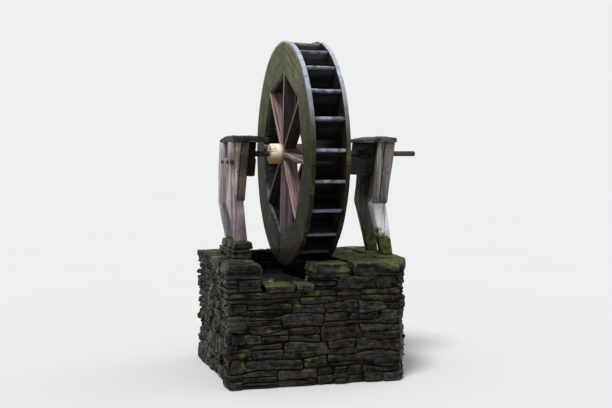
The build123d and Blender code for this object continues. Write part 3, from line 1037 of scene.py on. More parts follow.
def rows_of(mesh, field):
    """Places or normals of a mesh's points, one row each."""
    rows = np.zeros(len(mesh.vertices) * 3, np.float32)
    mesh.vertices.foreach_get(field, rows)
    return rows.reshape(-1, 3).astype(float)


def thinned(points, losses):
    """Points of a flat board that rot has thinned from above. losses hold axis, side and share."""
    middle = (points.max(axis=0) + points.min(axis=0)) / 2
    half = (points.max(axis=0) - points.min(axis=0)) / 2
    share = np.ones(len(points))
    for axis, side, loss in losses:
        reach = np.clip(side * (points[:, axis] - middle[axis]) / half[axis], 0, 1)
        share -= loss * reach**1.5
    foot = middle[2] - half[2]
    return np.column_stack([points[:, :2], foot + (points[:, 2] - foot) * share])


def worn_copy(node, finish, grain_axis, wear, ridges, seed, tone, losses):
    """Copy of a CAD solid with rounded, nicked edges and a ridged surface."""
    name = node + "_worn"
    shape = bmesh.new()
    shape.from_mesh(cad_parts[node].data)
    bmesh.ops.remove_doubles(shape, verts=shape.verts, dist=1e-5)
    finder = edge_finder(shape)
    mesh = in_even_faces(name, shape)
    mesh.name = name
    points, normals = rows_of(mesh, "co"), rows_of(mesh, "normal")
    near = np.array([finder.find(Vector(p))[2] for p in points.tolist()])
    middle = (points.max(axis=0) + points.min(axis=0)) / 2
    grain = np.roll(points - middle, -grain_axis, axis=1)
    edge = np.clip(1 - near / EDGE_REACH, 0, 1)
    nicks = np.clip(noise_at(grain, (14, 30, 30), seed) + 0.25, 0, 1.2)
    grooves = np.clip(noise_at(grain, (5, 130, 130), seed + 7) * 0.5 + 0.35, 0, 1)
    dents = dips(grain, (7, 16, 16), seed + 13) * 1.5
    lost = edge**2 * (0.35 + nicks) * wear + grooves * ridges + dents * ridges
    level = points[:, 2].copy()
    points -= normals * lost[:, None]
    for joint in JOINT_LEVELS:
        touching = np.abs(level - joint) < 0.002
        points[touching, 2] = level[touching]
    points = thinned(points, losses)
    mesh.vertices.foreach_set("co", points.astype(np.float32).ravel())
    store(mesh, "edge", edge)
    store(mesh, "tone", np.full(len(points), tone))
    store(mesh, "grain", grain + seed)
    mesh.update()
    return as_piece(name, mesh, 60, [finish])


# %% [markdown]
# ## Colours of the supports
# The two supports have aged differently. On the left the back post is bleached nearly white, the
# front post is pinkish, and of the boards nailed on it one is tan and the other dark brown, partly
# as painted shade towards the wheel. On the right one board is pinkish and the other grey. The post
# is dark where they cover it and white below them, with a foot green with moss. The right back post
# is dark, partly wet and partly painted shade. The left cap is slate dark, the right one brown and
# mossy, and the bearing planks are black, partly wet and partly painted shade under the caps.

# %% Finishes of the supports
FACING_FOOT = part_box("right_outer_facing")[0].z
LEFT_MOSS_FOOT = LEFT_FOOT - 0.1
RIGHT_MOSS_FOOT = RIGHT_FOOT + 0.02
facing = {"lines": 100.0, "splits": 0.56, "edge_wear": 0.35, "stained": 0.8}
cap = {"lines": 70.0, "damp": (3.0, 0.9, 0.2), "wet_colour": (0.9, 0.9, 0.9)}
# The bearing planks' near black is partly wet wood and partly painted shade under the caps.
bearing_plank = board_finish(
    "black_bearing_plank", (0.022, 0.019, 0.017), (0.0065, 0.0055, 0.005),
    edge_colour=(0.045, 0.04, 0.036), damp=(3.0, 1.2, 0.2), wet_colour=(0.7, 0.7, 0.7), gloss=0.02,
)
finishes = {
    "left_front_leg": board_finish(
        "left_front_post", (0.6, 0.48, 0.52), (0.25, 0.195, 0.21), stained=0.75,
        damp=(0.84, 0.58, 0.15), wet_colour=(0.55, 0.52, 0.52), moss=(0.3, 0.0, LEFT_MOSS_FOOT),
    ),
    "left_back_leg": board_finish(
        "left_back_post", (0.72, 0.68, 0.76), (0.42, 0.38, 0.43), tint=(0.86, 0.82, 0.84),
        damp=(0.95, 0.62, 0.15), wet_colour=(0.45, 0.42, 0.45), moss=(0.27, 0.0, LEFT_MOSS_FOOT),
    ),
    "left_outer_facing": board_finish(
        "left_tan_board", (0.52, 0.48, 0.435), (0.21, 0.19, 0.168), tint=(0.96, 0.94, 0.85),
        damp=(1.0, 0.82, 0.06), wet_colour=(0.5, 0.46, 0.42), moss=(0.25, 0.0, -1.0), **facing,
    ),
    # The inner board's dark brown is partly painted shade towards the wheel.
    "left_inner_facing": board_finish(
        "left_brown_board", (0.165, 0.13, 0.117), (0.058, 0.044, 0.039),
        damp=(0.98, 0.82, 0.06), wet_colour=(0.5, 0.47, 0.42), **facing,
    ),
    "right_front_leg": board_finish(
        "right_front_post", (0.87, 0.88, 0.95), (0.68, 0.69, 0.76), tones=(1.0, 1.1),
        fibres=(0.88, 1.1), tint=(0.94, 0.92, 0.93), darker_above=(FACING_FOOT, (0.11, 0.1, 0.09)),
        damp=(0.66, 0.54, 0.12), wet_colour=(0.5, 0.5, 0.46), moss=(0.24, 0.0, RIGHT_MOSS_FOOT),
    ),
    # The right back post's dark colour is partly wet wood and partly painted shade.
    "right_back_leg": board_finish(
        "right_back_post", (0.2, 0.19, 0.18), (0.065, 0.06, 0.057),
        damp=(0.95, 0.6, 0.15), wet_colour=(0.55, 0.55, 0.5), moss=(0.27, 0.0, RIGHT_MOSS_FOOT),
    ),
    "right_outer_facing": board_finish(
        "right_pinkish_board", (0.31, 0.29, 0.284), (0.112, 0.104, 0.101), tint=(0.94, 0.84, 0.8),
        damp=(0.95, 0.8, 0.1), wet_colour=(0.7, 0.68, 0.64), **facing,
    ),
    "right_inner_facing": board_finish(
        "right_grey_board", (0.4, 0.39, 0.375), (0.15, 0.146, 0.14),
        damp=(0.95, 0.8, 0.1), wet_colour=(0.95, 0.94, 0.89), **facing,
    ),
    "outer_board": board_finish(
        "outer_board", (0.46, 0.4, 0.43), (0.18, 0.152, 0.162), splits=0.4, damp=(0.95, 0.7, 0.15),
    ),
    "left_cap_board": board_finish(
        "slate_dark_cap", (0.06, 0.056, 0.055), (0.015, 0.0135, 0.013),
        edge_colour=(0.15, 0.14, 0.14), gloss=0.1, moss=(0.3, 0.08, -1.0), **cap,
    ),
    "right_cap_board": board_finish(
        "brown_mossy_cap", (0.15, 0.13, 0.115), (0.042, 0.035, 0.03),
        edge_colour=(0.26, 0.23, 0.21), gloss=0.06, moss=(0.36, 0.16, -1.0), **cap,
    ),
    "bearing_keep": bearing_plank,
    "bearing_beam": bearing_plank,
}
print("support finishes", len(finishes))

# %% [markdown]
# ## Wearing the supports
# Posts and caps have stood in the weather and are worn most, the facing boards less, and the planks
# about the axle least. Rot has also thinned the caps towards some of their edges.

# %% Worn supports
ALONG_Y, ALONG_Z = 1, 2
WORN_PARTS = {
    "front_leg": ("trestle_timber", ALONG_Z, 0.007, 0.0024),
    "back_leg": ("trestle_timber", ALONG_Z, 0.007, 0.0024),
    "outer_facing": ("trestle_timber", ALONG_Z, 0.005, 0.0013),
    "inner_facing": ("trestle_timber", ALONG_Z, 0.005, 0.0013),
    "outer_board": ("trestle_timber", ALONG_Z, 0.004, 0.001),
    "bearing_keep": ("bearing_timber", ALONG_Y, 0.004, 0.0014),
    "bearing_beam": ("bearing_timber", ALONG_Y, 0.004, 0.0014),
    "cap_board": ("cap_timber", ALONG_Y, 0.013, 0.0035),
}
CAP_LOSSES = {
    "left_cap_board": ((1, 1, 0.5), (0, 1, 0.3)),
    "right_cap_board": ((1, 1, 0.25), (0, 1, 0.2), (0, -1, 0.4)),
}
for side, first_seed in (("left", 3.0), ("right", 97.0)):
    for number, (part, (slot, grain_axis, wear, ridges)) in enumerate(WORN_PARTS.items()):
        node = f"{side}_{part}"
        seed = first_seed + 10.0 * number
        tone = random.Random(seed).uniform(0.3, 0.8)
        finish = finishes[node] if node in finishes else finishes[part]
        losses = CAP_LOSSES.get(node, ())
        piece = worn_copy(node, finish, grain_axis, wear, ridges, seed, tone, losses)
        settle(piece, "root", slot, node)

# %% [markdown]
# ## Nails and bolts
# The wheel's sides are nailed to every spoke and bucket, and the left support shows three dark
# bolts in a row. A point with a direction is all that a fastener needs: the tree puts a head on
# each point, turned along its direction and tilted a little, because nobody drives a nail quite
# straight.

# %% Tree: heads on points
HEAD_INPUTS = {
    "Sides": "Int",
    "Radius": "Float",
    "Height": "Float",
    "Top Share": "Float",
    "Tilt": "Float",
    "Seed": "Int",
    "Material": "Material",
}
nodes, given = new_shape_tree("fastener_heads", HEAD_INPUTS)
values = {
    "Vertices": given["Sides"],
    "Radius Top": nodes.times(given["Radius"], given["Top Share"]),
    "Radius Bottom": given["Radius"],
    "Depth": given["Height"],
}
head = nodes.add("GeometryNodeMeshCone", values)[0]
facing_out = nodes.add("GeometryNodeInputNamedAttribute", {"Name": "facing"}, data_type="FLOAT_VECTOR")[0]
seeds = [nodes.plus(given["Seed"], float(axis)) for axis in range(3)]
jolt = nodes.join(*(random_number(nodes, -1.0, 1.0, seed) for seed in seeds))
jolt = nodes.add("ShaderNodeVectorMath", {0: jolt, "Scale": given["Tilt"]}, operation="SCALE")[0]
along = nodes.vector("ADD", facing_out, jolt)
turned_to = nodes.add("FunctionNodeAlignRotationToVector", {"Vector": along}, axis="Z")[0]
values = {"Points": given["Geometry"], "Instance": head, "Rotation": turned_to}
copies = nodes.add("GeometryNodeInstanceOnPoints", values)[0]
put_out_shape(nodes, nodes.add("GeometryNodeRealizeInstances", {0: copies})[0], given["Material"])
dark_iron = iron_finish("dark_iron", (0.05, 0.046, 0.044), (0.036, 0.023, 0.017), 0.6, roughness=0.6)


def fasteners(name, spots, seed, sides=12, radius=0.0032, height=0.0022, top_share=0.62):
    """Iron heads on a list of places, each with the direction it faces."""
    mesh = bpy.data.meshes.new(name)
    mesh.from_pydata([place for place, _ in spots], [], [])
    store(mesh, "facing", [direction for _, direction in spots])
    values = {"sides": sides, "radius": radius, "height": height, "top_share": top_share}
    values |= {"tilt": 0.12, "seed": seed, "material": dark_iron}
    piece = grown(add_object(name, mesh), "fastener_heads", **values)
    piece.data.shade_smooth()
    piece.data.set_sharp_from_angle(angle=math.radians(35))
    return piece


# %% Nails of the wheel
SPOKE_NAIL_ANGLE = 0.035
SPOKE_NAILS = ((0.425, 1.25 * SPOKE_NAIL_ANGLE), (0.512, SPOKE_NAIL_ANGLE))


def on_wheel(x, radius, angle):
    """Point at an angle from the wheel's top, towards the front."""
    return (x, -radius * math.sin(angle), HUB_HEIGHT + radius * math.cos(angle))


nail_spots = []
for side in (-1, 1):
    face = side * -WHEEL_LOW.x
    for number in range(SPOKES):
        corner = WHEEL_TURN + number * SECTOR
        places = [(radius, corner + turn * angle) for turn in (-1, 1) for radius, angle in SPOKE_NAILS]
        for bucket in range(BUCKETS_PER_FLAT):
            for share in (0.3, 0.72):
                angle = corner + bucket * SECTOR / BUCKETS_PER_FLAT - share * BUCKET_TRAIL
                places.append((INNER_FLAT + share * (RIM_RADIUS - INNER_FLAT) + 0.02, angle))
        nail_spots += [(on_wheel(face, radius, angle), (side, 0, 0)) for radius, angle in places]
settle(fasteners("wheel_nails", nail_spots, 5), "wheel", None)

# %% Nails and bolts of the supports
INTO_Y, DOWN = (0, 1, 0), (0, 0, -1)
BOLT_LEVEL = HUB_HEIGHT - 0.04
FRONT_BOLT = (-0.367, -1, BOLT_LEVEL)
BOLTS_Y = {"outer_board": 0.02, "front_leg": -0.11}
CAP_NAIL_INSETS = (0.062, 0.05)


@lru_cache(maxsize=None)
def surface_of(name):
    """Search tree over the faces of a worn piece."""
    mesh = bpy.data.objects[name + "_worn"].data
    return BVHTree.FromPolygons([v.co for v in mesh.vertices], [tuple(f.vertices) for f in mesh.polygons])


def spot_on(name, start, direction):
    """Where a line from start meets a worn piece, and the direction back along it."""
    place = surface_of(name).ray_cast(Vector(start), Vector(direction))[0]
    return tuple(place), tuple(-x for x in direction)


def end_middle(node, top):
    """Middle of the upper or lower end of an upright board."""
    points = [v.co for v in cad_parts[node].data.vertices]
    level = max(p.z for p in points) if top else min(p.z for p in points)
    end = [p for p in points if abs(p.z - level) < 0.01]
    return sum(end, Vector()) / len(end)


nail_spots, bolt_spots = [], []
for side, sign in (("left", -1), ("right", 1)):
    for node in (side + "_outer_facing", side + "_inner_facing"):
        upper, lower = end_middle(node, True), end_middle(node, False)
        for share in (0.08, 0.5, 0.92):
            middle = upper.lerp(lower, share)
            nail_spots.append(spot_on(node, (middle.x, -1, middle.z), INTO_Y))
    cap_node = side + "_cap_board"
    low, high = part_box(cap_node)
    for y in (low.y + CAP_NAIL_INSETS[0], high.y - CAP_NAIL_INSETS[1]):
        for share in (0.3, 0.62):
            nail_spots.append(spot_on(cap_node, (low.x + share * (high.x - low.x), y, 2), DOWN))
    for part, y in BOLTS_Y.items():
        bolt_spots.append(spot_on(f"{side}_{part}", (sign, y, BOLT_LEVEL), (-sign, 0, 0)))
bolt_spots.append(spot_on("left_front_leg", FRONT_BOLT, INTO_Y))
settle(fasteners("support_nails", nail_spots, 8, radius=0.0036), "root", None)
washers = fasteners("washers", bolt_spots, 3, sides=20, radius=0.0115, height=0.0026, top_share=0.94)
heads = fasteners("bolt_heads", bolt_spots, 3, sides=6, radius=0.008, height=0.0085, top_share=0.9)
settle(joined("support_bolts", [washers, heads]), "root", None)

# %% [markdown]
# ## Stone
# The masonry is thin-bedded rubble. Its walls are nearly black, partly with water and partly as
# painted shade. A bed shows as fine horizontal layers, so the noise is squeezed in height. Each
# stone has a tone of its own, from brown to grey.
# Moss grows on the tops and in patches, and a wet sheen lies over everything else.

# %% Stone finish


def stone_finish(name, brown, grey, moss, tops, gloss=0.1, relief=0.009):
    """Wet layered stone with moss."""
    nodes = Finish(name)
    position = nodes.where()
    tone = nodes.attribute("tone")
    own = nodes.vector("ADD", position, nodes.times(tone, 11.0))
    beds = nodes.noise(own, (7.0, 7.0, 110.0), 6.0, 0.66)
    lumps = nodes.noise(own, 34.0, 8.0, 0.74)
    grit = nodes.noise(own, 260.0, 3.0, 0.7)
    own_light = nodes.between(nodes.math("FRACT", nodes.times(tone, 7.0)), 0.0, 1.0, 0.7, 1.25)
    layered = nodes.between(nodes.weighed((beds, 0.75), (lumps, 0.75)), 0.63, 0.91, 0.1, 2.1)
    colour = nodes.mix(nodes.between(tone, 0.3, 0.9), brown, grey)
    for light in (own_light, layered, nodes.between(grit, 0.3, 0.7, 0.75, 1.3)):
        colour = nodes.shade(colour, light)
    rust_stain = nodes.between(nodes.noise(position, 13.0, 6.0, 0.68), 0.56, 0.74)
    colour = nodes.mix(nodes.times(rust_stain, 0.5), colour, (0.06, 0.036, 0.018))
    edge = nodes.group("worn_edge", nodes.attribute("edge"), 0.5)["Mask"]
    colour = nodes.mix(nodes.times(edge, 0.22), colour, (0.12, 0.115, 0.1))
    growth = nodes.group("moss", moss, tops)
    colour = nodes.mix(nodes.times(growth["Mask"], 0.9), colour, growth["Colour"])
    wet_sheen = nodes.between(nodes.noise(position, 16.0, 5.0, 0.62), 0.42, 0.62)
    bare = nodes.minus(1.0, growth["Mask"])
    values = {
        "Base Color": colour,
        "Roughness": nodes.between(nodes.times(wet_sheen, bare), 0.0, 1.0, 0.85, 0.36),
        "Coat Weight": nodes.times(wet_sheen, gloss, bare),
        "Coat Roughness": 0.15,
        "Specular IOR Level": 0.07,
    }
    height = nodes.weighed((beds, 0.55), (lumps, 0.45), (grit, 0.1), (growth["Height"], 0.5))
    return nodes.surface(values, height, relief, 1.0)


# The rubble's near-black colours are partly wet stone and partly painted shade.
wall_stone = stone_finish("wet_rubble", (0.02, 0.0158, 0.0118), (0.0165, 0.0162, 0.0152), 0.41, 0.1)
ledge_stone = stone_finish("mossy_ledge", (0.026, 0.022, 0.0175), (0.024, 0.0235, 0.0215), 0.46, 0.16)
mortar = stone_finish(
    "dark_mortar", (0.008, 0.0064, 0.005), (0.009, 0.0082, 0.007), 0.3, 0.0, gloss=0.05, relief=0.007
)
print("stone finishes", wall_stone.name, ledge_stone.name, mortar.name)

# %% [markdown]
# ## A wall as a path
# A course of rubble runs round the masonry like a belt, round its corners too. So a wall is
# described by its outline seen from above: corners that lean back with height, and a direction to
# go inwards from each. A stone is then only a stretch of that path, between two heights and two
# depths, and a corner stone bends by itself.

# %% Outlines of the masonry
abutment_low, abutment_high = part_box("left_abutment")
pier_low, pier_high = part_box("right_pier")
front_pier_low, front_pier_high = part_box("front_pier")
spill_low, spill_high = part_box("spill_wall")
back_low, back_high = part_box("back_wall")
LEDGE_TOP = back_high.z
PIER_TOP = pier_high.z
SPILL_TOP = spill_high.z
BATTER = 0.030
CORNER_WIDTH, CORNER_DEPTH = 0.088, 0.200
COPING_OVERHANG = 0.008
corner_start = Vector((pier_high.x - CORNER_WIDTH, abutment_low.y + BATTER - COPING_OVERHANG))


def front_corner(x, level):
    """Corner on the leaning front face."""
    return (x, abutment_low.y + BATTER * level / LEDGE_TOP)


def far_corners(level):
    """Corners on the right and at the back, from the right pier's slanting corner on."""
    y = front_corner(0, level)[1]
    return [
        (corner_start.x + CORNER_WIDTH / CORNER_DEPTH * (y - corner_start.y), y),
        (pier_high.x, corner_start.y + CORNER_DEPTH),
        (pier_high.x, pier_high.y),
        (abutment_low.x, pier_high.y),
    ]


def lower_outline(level):
    """Whole base, below the spillway, anticlockwise from above."""
    return [front_corner(abutment_low.x, level), *far_corners(level)]


def upper_outline(level):
    """The walls round the pit, above the spillway: outside and then inside."""
    return [
        front_corner(front_pier_low.x, level),
        *far_corners(level),
        front_corner(abutment_low.x, level),
        front_corner(abutment_high.x, level),
        (abutment_high.x, back_low.y),
        (pier_low.x, back_low.y),
        (pier_low.x, front_pier_high.y),
        (front_pier_low.x, front_pier_high.y),
    ]


class WallPath:
    """Places points by their distance along an outline, their height and their depth."""

    def __init__(self, outline):
        self.foot = np.array(outline(0.0))
        self.lean = np.array(outline(1.0)) - self.foot
        edges = np.roll(self.foot, -1, axis=0) - self.foot
        self.lengths = np.linalg.norm(edges, axis=1)
        self.starts = np.concatenate([[0], np.cumsum(self.lengths)])
        inward = np.stack([-edges[:, 1], edges[:, 0]], axis=1) / self.lengths[:, None]
        before = np.roll(inward, 1, axis=0)
        self.mitre = (inward + before) / (1 + (inward * before).sum(axis=1))[:, None]
        self.total = self.starts[-1]

    def at(self, distance, height, depth):
        """Points for arrays of distance, height and depth."""
        distance = np.mod(distance, self.total)
        edge = np.searchsorted(self.starts, distance, side="right") - 1
        edge = np.clip(edge, 0, len(self.lengths) - 1)
        share = ((distance - self.starts[edge]) / self.lengths[edge])[:, None]
        spots = []
        for corner in (edge, (edge + 1) % len(self.lengths)):
            leaning = self.lean[corner] * height[:, None]
            spots.append(self.foot[corner] + leaning + self.mitre[corner] * depth[:, None])
        return np.column_stack([spots[0] * (1 - share) + spots[1] * share, height])

    def corners_between(self, start, end):
        """Distances of the corners inside a stretch that may run past the path's end."""
        spots = [*self.starts[:-1], *(self.starts[:-1] + self.total)]
        return [s for s in spots if start + 0.012 < s < end - 0.012]


lower_path = WallPath(lower_outline)
upper_path = WallPath(upper_outline)
print("paths in metres", round(lower_path.total, 2), round(upper_path.total, 2))

# %% [markdown]
# ## Laying the rubble
# Courses are 5 to 8 cm high and stones 7 to 27 cm long, and often two or three thin stones lie in
# the height of one. Joints are open by less than a centimetre, their ends slant and the beds wander.
# The face of every stone is set back and tilted a little differently, then stepped in leaves of
# about a centimetre, like natural beds. A seed fixes the layout, so the wall is the same each time.

# %% Rubble courses
STONE_DEPTH = 0.055
STONE_JOINT = 0.007
STONE_LENGTHS = (0.075, 0.11, 0.15, 0.19, 0.24)
BED_LEVELS = [0.0, 0.078, 0.132, 0.205, 0.256, 0.324, 0.374, SPILL_TOP]
BED_WAVE = 0.022
LAYER_WAVE = 0.003
WALLS = ("left_abutment", "right_pier", "front_pier", "spill_wall", "back_wall")
picker = random.Random(7)
wall_blocks = {name: Blocks() for name in WALLS}


def wall_of(spot):
    """Name of the wall that a stone belongs to."""
    if spot[0] < abutment_high.x:
        return "left_abutment"
    if spot[0] > pier_low.x:
        return "right_pier"
    if spot[1] > 0:
        return "back_wall"
    if spot[0] < front_pier_low.x:
        return "spill_wall"
    return "front_pier"


def wavy(path, distance, level, amount):
    """Height of a bed joint that wanders about its level."""
    spots = path.at(distance, np.full_like(distance, level), np.zeros_like(distance))
    return level + amount * noise_at(spots, 6.0, level * 31)


def leaves(height, seed, thickness):
    """How far each natural leaf of a stone stands back, 0 to 1. Leaves lie one on another."""
    number = height / thickness + seed
    leaf = np.floor(number)
    step = np.clip((number - leaf - 0.7) / 0.3, 0, 1)
    own, following = (np.sin(n * 12.9898 + seed) * 43758.5453 % 1 for n in (leaf, leaf + 1))
    return own + (following - own) * step


def about(places, corner, width):
    """Share of 1 at a corner that fades to 0 on both sides."""
    return np.exp(-(((places - corner) / width) ** 2))


def lay_stone(path, ends, slants, low, high, waves, seed):
    """One stone between two end joints, which may slant, and two bed joints."""
    start, end = ends
    joint = STONE_JOINT * picker.uniform(0.55, 1.25)
    length = end - start - joint
    tall = high - low - joint
    middle = (start + end) / 2
    snaps = [s - middle for s in path.corners_between(start, end)]
    size = (length, tall, STONE_DEPTH)
    local, quads, edge = rounded_block(size, min(0.007, tall * 0.25), (0.009, 0.0062, 0.02), snaps)
    outward = np.clip(local[:, 2] / STONE_DEPTH + 0.5, 0, 1)
    share = local[:, 1] / tall + 0.5
    off_corner = np.ones(len(local))
    for snap in snaps:
        off_corner = np.minimum(off_corner, 1 - about(local[:, 0], snap, 0.03))
    slant = slants[0] + (slants[1] - slants[0]) * (local[:, 0] / length + 0.5)
    sideways = slant * (share - 0.5) + noise_at(local, (17, 30, 0), seed) * 0.008
    distance = middle + local[:, 0] + sideways * off_corner
    bottom = wavy(path, distance, low, waves[0]) + joint / 2
    top = wavy(path, distance, high, waves[1]) - joint / 2
    ragged = noise_at(local, (30, 8, 0), seed + 21) * 0.0035
    height = bottom + (top - bottom) * share + ragged * (1 - 2 * np.abs(share - 0.5)) * off_corner
    tilt = local[:, 0] * picker.uniform(-0.06, 0.06) + local[:, 1] * picker.uniform(-0.12, 0.18)
    setback = picker.uniform(0.001, 0.013)
    broken = noise_at(local, (13, 22, 5), seed + 40) * 0.010
    broken += noise_at(local, (42, 60, 20), seed + 80) * 0.0045
    wander = height + noise_at(local, (9, 0, 4), seed + 60) * 0.009
    broken += leaves(wander, seed, picker.uniform(0.009, 0.017)) * picker.uniform(0.003, 0.011)
    depth = STONE_DEPTH * (1 - outward) + setback + (tilt + broken) * outward
    for snap in snaps:
        depth = depth + 0.005 * about(local[:, 0], snap, 0.009) * outward
    points = path.at(distance, np.maximum(height, 0.001), np.maximum(depth, 0.0006))
    centre = path.at(np.array([middle]), np.array([low]), np.array([0.03]))[0]
    wall_blocks[wall_of(centre)].add(points, quads, local + seed, edge, 0.0, picker.random())


def lay_course(path, low, high, waves, seed):
    """Stones of random length all the way round, some of them two or three thin ones."""
    widths = []
    while sum(widths) < path.total - 0.06:
        widths.append(picker.choice(STONE_LENGTHS) * picker.uniform(0.85, 1.15))
    stretch = path.total / sum(widths)
    start = picker.uniform(0.0, 0.2)
    slants = [picker.uniform(-0.22, 0.22) * (high - low) for _ in widths]
    for number, width in enumerate(widths):
        ends = (start, start + width * stretch)
        leaning = (slants[number], slants[(number + 1) % len(widths)])
        own_seed = seed * 50.0 + number * 3.7
        layers = picker.choice((1, 1, 2)) if high - low < 0.06 else picker.choice((1, 1, 2, 2, 3))
        cuts = [0.0, *sorted((i + picker.uniform(-0.16, 0.16)) / layers for i in range(1, layers)), 1.0]
        for layer in range(layers):
            bottom, top = (low + (high - low) * cuts[layer + i] for i in (0, 1))
            below = waves[0] if layer == 0 else LAYER_WAVE
            above = waves[1] if layer == layers - 1 else LAYER_WAVE
            flatter = tuple(s / layers for s in leaning)
            lay_stone(path, ends, flatter, bottom, top, (below, above), own_seed + 1.3 * layer)
        start = ends[1]


for number, (low, high) in enumerate(zip(BED_LEVELS, BED_LEVELS[1:])):
    below = 0.0 if number == 0 else BED_WAVE
    above = 0.0 if high == SPILL_TOP else BED_WAVE
    lay_course(lower_path, low, high, (below, above), number + 1)
lay_course(upper_path, SPILL_TOP, PIER_TOP, (0.0, 0.0), 20)
print("stones laid", sum(len(b.points) for b in wall_blocks.values()))

# %% [markdown]
# ## Flat stones on top
# The ledge is made of broad slabs with ragged edges, laid like crazy paving. Each slab is a block
# stretched over four corners. Neighbours share their corners, moved a little at random, so the
# joints run crooked but stay narrow.

# %% Slabs
SLAB_JOINT = 0.008
SLABS = ("front_coping", "right_coping", "left_pad", "spill_lip")
slab_blocks = {name: Blocks() for name in SLABS}


def lay_slab(blocks, corners, low, high, seed, ragged=0.006):
    """Slab over four corners, given anticlockwise from the front left."""
    corners = np.array(corners, float)
    middle = corners.mean(axis=0)
    reach = np.linalg.norm(corners - middle, axis=1, keepdims=True)
    corners = middle + (corners - middle) * (1 - SLAB_JOINT / 2 * 1.4 / reach)
    wide = np.linalg.norm(corners[1] - corners[0])
    deep = np.linalg.norm(corners[3] - corners[0])
    rounding = min(0.007, (high - low) * 0.25)
    local, quads, edge = rounded_block((wide, deep, high - low), rounding, (0.0115, 0.0115, 0.0065))
    rough = noise_at(local, (12, 12, 10), seed) * ragged * 1.6
    rough += noise_at(local, (40, 40, 20), seed + 9) * 0.002
    wander = local[:, 2] + noise_at(local, (9, 9, 0), seed + 20) * 0.005
    rough += (leaves(wander, seed, 0.013) - 0.5) * 0.012
    from_middle = local[:, :2] / (np.array((wide, deep)) / 2)
    side_weight = np.clip(np.abs(from_middle).max(axis=1), 0, 1) ** 4
    inwards = np.clip(rough + ragged * 0.5, 0, None)
    across, along = (local[:, i] - np.sign(local[:, i]) * inwards * side_weight for i in (0, 1))
    s = (across / wide + 0.5)[:, None]
    t = (along / deep + 0.5)[:, None]
    front = corners[0] * (1 - s) * (1 - t) + corners[1] * s * (1 - t)
    flat = front + corners[2] * s * t + corners[3] * (1 - s) * t
    sunk = np.clip(noise_at(local, (11, 11, 0), seed + 60) + 0.3, 0, 1) * 0.0045
    height = (low + high) / 2 + local[:, 2] - sunk * (local[:, 2] > 0)
    blocks.add(np.column_stack([flat, height]), quads, local + seed, edge, 0.0, picker.random())


def pave(blocks, x_lines, y_lines, low, high, seed, jitter=0.02):
    """Slabs on a grid whose inner corners are moved at random."""
    spots = {}
    for i, x in enumerate(x_lines):
        for j, y in enumerate(y_lines):
            inner_x = 0 < i < len(x_lines) - 1
            inner_y = 0 < j < len(y_lines) - 1
            shift_x = picker.uniform(-jitter, jitter) if inner_x else 0.0
            shift_y = picker.uniform(-jitter, jitter) if inner_y else 0.0
            spots[i, j] = (x + shift_x, y + shift_y)
    for i in range(len(x_lines) - 1):
        for j in range(len(y_lines) - 1):
            corners = [spots[i, j], spots[i + 1, j], spots[i + 1, j + 1], spots[i, j + 1]]
            lay_slab(blocks, corners, low, high, seed + 5 * i + 1.7 * j)


def share_line(low, high, share):
    """Joint at a share of the way from one side to the other."""
    return low + share * (high - low)


# %% Right coping, with its cut corner
PIER_JOINTS = (-0.02, 0.17)
low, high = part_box("right_coping")
bend_y = low.y + CORNER_DEPTH
cut = (high.x - CORNER_WIDTH, low.y)
corners = [(low.x, low.y), cut, (high.x, bend_y), (low.x, bend_y)]
lay_slab(slab_blocks["right_coping"], corners, low.z, high.z, 301)
x_lines = [low.x, share_line(low.x, high.x, 0.55), high.x]
pave(slab_blocks["right_coping"], x_lines, [bend_y, *PIER_JOINTS, high.y], low.z, high.z, 311)

# %% The other slabs
ABUTMENT_JOINTS = (-0.28, -0.10, 0.09, 0.23)
low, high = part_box("front_coping")
pave(slab_blocks["front_coping"], [low.x, high.x], [low.y, high.y], low.z, high.z, 331)

low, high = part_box("left_pad")
half_way = share_line(low.z, high.z, 0.55)
y_lines = [low.y, share_line(low.y, high.y, 0.48), high.y]
pave(slab_blocks["left_pad"], [low.x, high.x - 0.006], y_lines, low.z, half_way - 0.002, 341)
pave(slab_blocks["left_pad"], [low.x + 0.008, high.x], [low.y, high.y], half_way, high.z, 347)

low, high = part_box("spill_lip")
x_lines = [low.x, share_line(low.x, high.x, 0.6), high.x]
pave(slab_blocks["spill_lip"], x_lines, [low.y, high.y], low.z, high.z, 351)

y_lines = [front_corner(0, PIER_TOP)[1], *ABUTMENT_JOINTS, abutment_high.y]
x_lines = [abutment_low.x, abutment_high.x]
pave(wall_blocks["left_abutment"], x_lines, y_lines, PIER_TOP + 0.003, abutment_high.z, 361)
x_lines = [back_low.x, back_low.x + 0.19, back_high.x]
pave(wall_blocks["back_wall"], x_lines, [back_low.y, back_high.y], PIER_TOP + 0.003, back_high.z, 371)
print("slabs laid", sum(len(b.points) for b in slab_blocks.values()))

# %% [markdown]
# ## Mortar behind the stones
# Between the stones one sees dark mortar, a finger's breadth back. It is one plain body inside all
# the walls, made from the same outlines, pushed inwards.

# %% Mortar body, stones and slabs
MORTAR_DEPTH = 0.023


def mortar_ring(path, low, high, shape):
    """Upright body inside an outline, between two heights."""
    count = len(path.lengths)
    rows = []
    for level in (low, high):
        spots = path.at(path.starts[:-1], np.full(count, level), np.full(count, MORTAR_DEPTH))
        rows.append([shape.verts.new(spot) for spot in spots.tolist()])
    for number in range(count):
        after = (number + 1) % count
        shape.faces.new((rows[0][number], rows[0][after], rows[1][after], rows[1][number]))
    shape.faces.new(rows[0][::-1])
    shape.faces.new(rows[1])


